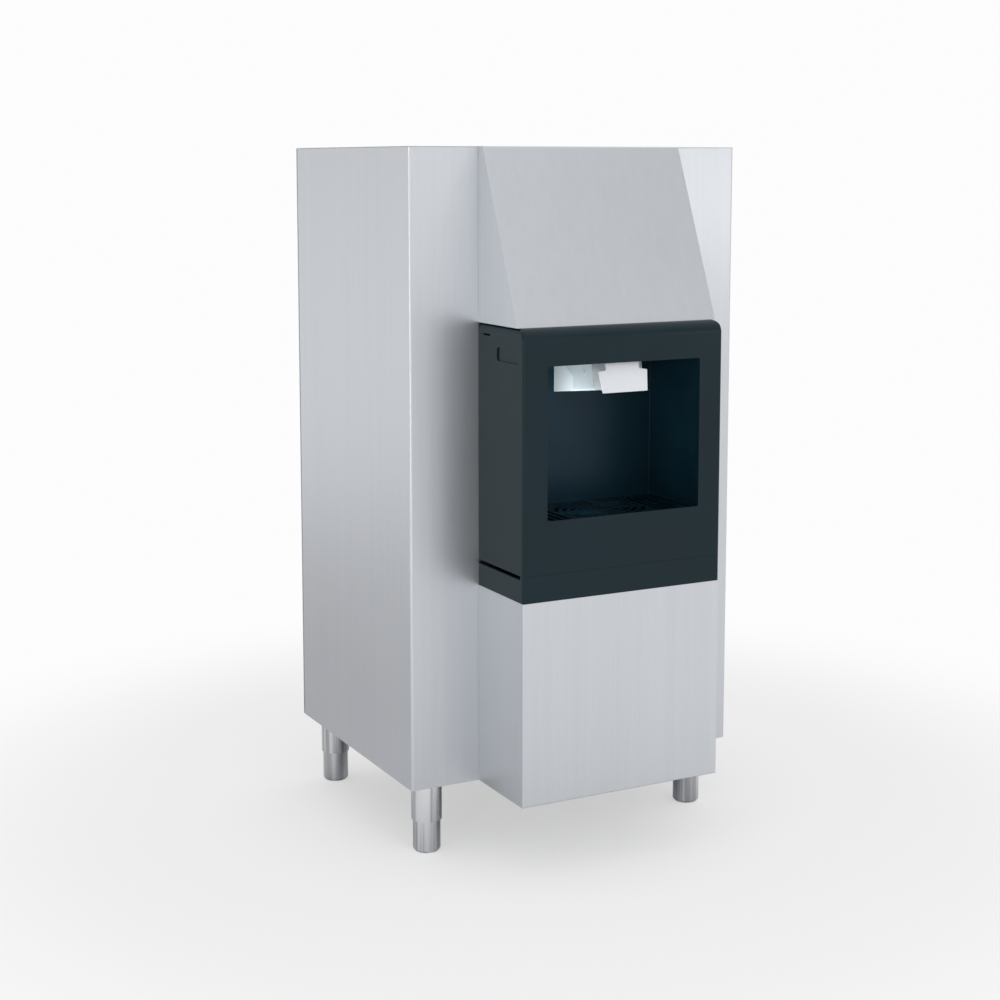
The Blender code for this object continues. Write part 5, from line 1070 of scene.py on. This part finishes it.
@dataclass
class RefinedParts:
    """CAD pieces that keep their shape and get softened edges and their finish."""

    edges: dict[str, tuple[float, str, str, str]] = field(default_factory=lambda: {
        "alcove_liner": (0.0012, "alcove_plastic", CABINET, "black_plastic"),
        "drip_tray": (0.0008, "alcove_plastic", CABINET, "black_plastic"),
        "drip_grille": (0.0009, "alcove_plastic", CABINET, "black_plastic"),
        "ice_chute": (0.0008, "chute_plastic", CABINET, "white_plastic"),
        "flap_bracket": (0.0004, "bracket_paint", CABINET, "bracket_paint"),
        "push_flap": (0.0007, "white_plastic", "flap", "white_plastic"),
        "bin_liner": (0.0012, "white_plastic", CABINET, "white_plastic"),
        "outlet_throat": (0.0008, "white_plastic", CABINET, "white_plastic"),
        "paddle_wheel": (0.0010, "white_plastic", "drive", "white_plastic"),
        "drive_motor": (0.0010, "motor_paint", CABINET, "motor_paint"),
        "gearbox": (0.0010, "motor_paint", CABINET, "motor_paint"),
        "control_box_cover": (0.0004, "zinc_sheet", CABINET, "zinc_sheet"),
        "power_switch_body": (0.0005, "black_switch", CABINET, "black_switch"),
        "power_rocker": (0.0005, "red_rocker", "rocker", "red_rocker"),
    })

    def build(self) -> None:
        """Make each softened copy."""
        for node, (width, paint, body, slot) in self.edges.items():
            finished(refined_copy(node, width), paint, body, slot, node)

    @staticmethod
    def paint_rest() -> None:
        """Give every CAD node that still shows its procedural finish."""
        for part in frame["record"]["subparts"]:
            node = frame["nodes"][part["node"]]
            if node.hide_render:
                continue
            paint = PAINTS.get(part["material_slot"])
            if not node.material_slots:
                node.data.materials.append(paint)
            for place in node.material_slots:
                place.material = paint
            LOG.info("%s: painted %s", node.name, paint.name)


@dataclass
class Legs:
    """Round legs with their levelling feet."""

    sides: int = 64
    places: tuple[str, ...] = ("front_left", "front_right", "rear_left", "rear_right")
    rim: float = 0.0015
    chamfer: float = 0.005
    sole_inset: float = 0.004
    ring_depth: float = 0.0002
    ring_height: float = 0.0016
    ring_drop: float = 0.018
    sleeve: float = 0.0315
    bore: float = 0.0290
    bore_depth: float = 0.047
    plate: float = 0.003
    plate_corner: float = 0.006

    def turned(self, name: str, profile: Sequence[Flat], x: float, y: float) -> bpy.types.Object:
        """Sweep a (radius, z) profile round an upright axis.

        Args:
            name: The piece's name.
            profile: The profile, from the top down.
            x: The axis's x.
            y: The axis's y.

        Returns:
            The turned object, its mesh in the row frame.
        """
        bm = bmesh.new()
        angles = [2 * math.pi * step / self.sides for step in range(self.sides)]
        rings = []
        for radius, z in profile:
            rings.append([
                bm.verts.new((x + radius * math.cos(angle), y + radius * math.sin(angle), z))
                for angle in angles
            ])
        for upper, lower in zip(rings, rings[1:]):
            for index in range(self.sides):
                after = (index + 1) % self.sides
                bm.faces.new((upper[index], lower[index], lower[after], upper[after]))
        bm.faces.new(rings[0])
        bm.faces.new(rings[-1][::-1])
        return from_bmesh(bm, name)

    def foot(self, place: str) -> None:
        """The levelling foot of one leg.

        Args:
            place: Which leg.
        """
        low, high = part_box("foot_" + place)
        radius = (high.x - low.x) / 2
        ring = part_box("leg_" + place)[0].z - self.ring_drop
        sole = radius - self.sole_inset
        profile = [
            (radius - self.rim, high.z), (radius, high.z - self.rim),
            (radius, ring + self.ring_height),
            (radius - self.ring_depth, ring + self.ring_height / 2), (radius, ring),
            (radius, self.chamfer + self.rim), (radius - self.rim / 4, self.chamfer),
            (sole, self.rim / 2), (sole - self.rim, 0.0),
        ]
        x, y = (low.x + high.x) / 2, (low.y + high.y) / 2
        item = self.turned("foot_" + place + "_turned", profile, x, y)
        finished(item, "leg_steel", "foot_" + place, "leg_steel", "foot_" + place)

    def leg(self, place: str) -> None:
        """One leg's sleeve with the plate that it hangs from.

        Args:
            place: Which leg.
        """
        foot_low, foot_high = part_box("foot_" + place)
        low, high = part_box("leg_" + place)
        profile = [
            (self.sleeve, high.z - self.plate), (self.sleeve, low.z + self.rim),
            (self.sleeve - self.rim / 3, low.z + self.rim / 3), (self.sleeve - self.rim, low.z),
            (self.bore, low.z), (self.bore, low.z + self.bore_depth),
        ]
        x, y = (foot_low.x + foot_high.x) / 2, (foot_low.y + foot_high.y) / 2
        item = self.turned("leg_" + place + "_turned", profile, x, y)
        bm = bmesh.new()
        bm.from_mesh(item.data)
        corners = rounded(rectangle(low.x, high.x, low.y, high.y), self.plate_corner)
        bottom = [bm.verts.new((px, py, high.z - self.plate)) for px, py in corners]
        top = [bm.verts.new((px, py, high.z)) for px, py in corners]
        bm.faces.new(bottom[::-1])
        bm.faces.new(top)
        for index in range(len(corners)):
            after = (index + 1) % len(corners)
            bm.faces.new((bottom[index], bottom[after], top[after], top[index]))
        bm.to_mesh(item.data)
        bm.free()
        finished(item, "leg_steel", CABINET, "leg_steel", "leg_" + place)

    def build(self) -> None:
        """Make each leg and foot."""
        for place in self.places:
            self.foot(place)
            self.leg(place)


# Studio


@dataclass(frozen=True)
class Softbox:
    """A rectangular lamp; mirrored says whether it shows in reflections."""

    name: str
    at: Point
    towards: Point
    size: tuple[float, float]
    power: float
    colour: Colour = (1.0, 1.0, 1.0)
    mirrored: bool = True

    def build(self) -> None:
        """Stand the lamp in its place."""
        data = bpy.data.lights.new(self.name, "AREA")
        data.color = self.colour
        data.shape = "RECTANGLE"
        data.size, data.size_y = self.size
        data.energy = self.power
        item = bpy.data.objects.new(self.name, data)
        item.location = self.at
        aim = Vector(self.towards) - Vector(self.at)
        item.rotation_euler = aim.to_track_quat("-Z", "Y").to_euler()
        item.visible_camera = False
        item.visible_glossy = self.mirrored
        bpy.context.scene.collection.objects.link(item)


LAMPS = (
    Softbox("alcove_light", (-0.10, -0.370, 0.738), (-0.04, -0.25, 1.0), (0.12, 0.03), 0.45,
            (0.86, 0.95, 1.0), False),
    Softbox("chute_light", (-0.13, -0.30, 0.88), (-0.056, -0.30, 1.0), (0.04, 0.08), 0.24,
            (0.9, 0.97, 1.0), False),
    Softbox("right_card", (1.15, -1.55, 1.33), (0.34, -0.2, 1.30), (0.45, 0.42), 0.75),
    Softbox("leg_strip", (-3.0, -2.7, 0.9), (-0.3, -0.3, 0.1), (0.10, 1.7), 12.0),
    Softbox("front_light", (0.2, -4.6, 2.8), (0.0, -0.3, 0.9), (1.4, 1.4), 17.0),
)


@dataclass
class Studio:
    """Floor, light and camera."""

    camera_at: Point = (-1.8513, -3.4115, 1.4158)
    yaw: float = 27.52
    pitch: float = 7.18
    lens: float = 65.006
    shift: float = -0.11
    floor_half: float = 60.0
    floor_seen: Colour = (0.95, 0.95, 0.95)
    backdrop: Colour = (0.98, 0.98, 0.98)
    shadow_reach: float = 0.9
    lift: float = 0.5
    # painted shade: where the floor's glow seen by the metal is darkened, and how far the darkening
    # reaches
    painted_shade_centre: Point = (-0.5, 1.5, 0.0)
    painted_shade_reach: tuple[float, float] = (0.6, 3.6)
    under_reach: tuple[float, float] = (0.45, 0.85)
    under_felt: Colour = (0.72, 0.72, 0.73)
    painted_shade_felt: Colour = (0.48, 0.48, 0.49)
    far_felt: Colour = (0.86, 0.86, 0.87)
    sky: tuple[tuple[float, Colour], ...] = (
        (0.0, (0.9, 0.9, 0.9)), (0.49, (0.95, 0.95, 0.95)), (0.505, (0.70, 0.70, 0.71)),
        (0.60, (0.66, 0.66, 0.67)), (0.79, (0.52, 0.52, 0.53)), (0.88, (0.98, 0.98, 0.99)),
        (1.0, (0.90, 0.90, 0.91)),
    )

    def camera(self) -> None:
        """The photograph's viewpoint."""
        data = bpy.data.cameras.new("camera")
        data.lens = self.lens
        data.sensor_width = 36.0
        data.shift_y = self.shift
        data.clip_end = 100.0
        item = bpy.data.objects.new("camera", data)
        item.location = self.camera_at
        item.rotation_euler = (math.radians(90 - self.pitch), 0, -math.radians(self.yaw))
        bpy.context.scene.collection.objects.link(item)
        bpy.context.scene.camera = item

    def floor(self) -> None:
        """A plain pale floor that reads white to the camera; to the metal it glows pale grey, with
        painted shade that darkens the glow towards a point behind the object.
        """
        bm = bmesh.new()
        bmesh.ops.create_grid(bm, x_segments=1, y_segments=1, size=self.floor_half)
        item = from_bmesh(bm, "floor")
        material = bpy.data.materials.new("floor")
        material.use_nodes = True
        recipe = Recipe(material.node_tree)
        material.node_tree.nodes.clear()
        path = recipe.node("ShaderNodeLightPath")
        point = recipe.place()
        length = recipe.node("ShaderNodeVectorMath", {"operation": "LENGTH"}, {0: point})
        reach = Value(recipe, length.outputs["Value"])
        near = recipe.node("ShaderNodeBsdfDiffuse", {}, {"Color": (*self.floor_seen, 1)})
        open_floor = recipe.node("ShaderNodeEmission", {}, {"Color": (*self.backdrop, 1)})
        fade = reach.between(self.shadow_reach, self.shadow_reach * 2)
        shaded = (1 - fade) * (1 - self.lift)
        seen = self.mixed(recipe, 1 - shaded, near, open_floor)
        # painted shade: the glow that the metal reflects is darker near this centre, standing in
        # for the object's shade on the floor
        offset = recipe.node(
            "ShaderNodeVectorMath", {"operation": "DISTANCE"}, {0: point, 1: self.painted_shade_centre})
        painted_shade_distance = Value(recipe, offset.outputs["Value"])
        under = recipe.node("ShaderNodeBsdfDiffuse", {}, {"Color": (*self.under_felt, 1)})
        painted_shade_glow, far = (recipe.node("ShaderNodeEmission", {}, {"Color": (*colour, 1)})
                      for colour in (self.painted_shade_felt, self.far_felt))
        glow_with_painted_shade = self.mixed(recipe, painted_shade_distance.between(*self.painted_shade_reach), painted_shade_glow, far)
        felt = self.mixed(recipe, reach.between(*self.under_reach), under, glow_with_painted_shade)
        both = self.mixed(recipe, Value(recipe, path.outputs["Is Camera Ray"]), felt, seen)
        recipe.node("ShaderNodeOutputMaterial", {}, {"Surface": both.outputs[0]})
        item.data.materials.append(material)

    @staticmethod
    def mixed(recipe: Recipe, share: Value, first: bpy.types.Node,
              second: bpy.types.Node) -> bpy.types.Node:
        """Mix two shaders.

        Args:
            recipe: The tree's builder.
            share: How much of the second.
            first: A shader node.
            second: A shader node.

        Returns:
            The mix.
        """
        return recipe.node(
            "ShaderNodeMixShader", {}, {0: share, 1: first.outputs[0], 2: second.outputs[0]})

    def world(self) -> None:
        """White to the camera; to the light and the metal a sky in soft bands."""
        world = bpy.data.worlds.new("studio")
        bpy.context.scene.world = world
        world.use_nodes = True
        recipe = Recipe(world.node_tree)
        world.node_tree.nodes.clear()
        direction = recipe.node("ShaderNodeTexCoord").outputs["Generated"]
        parts = recipe.node("ShaderNodeSeparateXYZ", {}, {0: direction})
        up = Value(recipe, parts.outputs["Z"])
        sky = recipe.node("ShaderNodeValToRGB", {"stops": self.sky}, {0: up * 0.5 + 0.5})
        path = recipe.node("ShaderNodeLightPath")
        shown = recipe.node(
            "ShaderNodeMix", {"data_type": "RGBA"},
            {0: path.outputs["Is Camera Ray"], 6: sky.outputs[0], 7: (*self.backdrop, 1)})
        background = recipe.node(
            "ShaderNodeBackground", {}, {"Color": shown.outputs[2], "Strength": 1.0})
        recipe.node("ShaderNodeOutputWorld", {}, {"Surface": background.outputs[0]})

    def build(self) -> None:
        """Set up the stage."""
        self.camera()
        self.floor()
        self.world()
        for lamp in LAMPS:
            lamp.build()
        bpy.context.scene.view_settings.view_transform = "Standard"


def main() -> None:
    """Build the scene's sub-assemblies in order."""
    logging.basicConfig(level=logging.INFO)
    Studio().build()
    Cabinet().build()
    Module().build()
    RefinedParts().build()
    Legs().build()
    RefinedParts.paint_rest()
    bpy.context.view_layer.update()


if __name__ == "__main__":
    main()
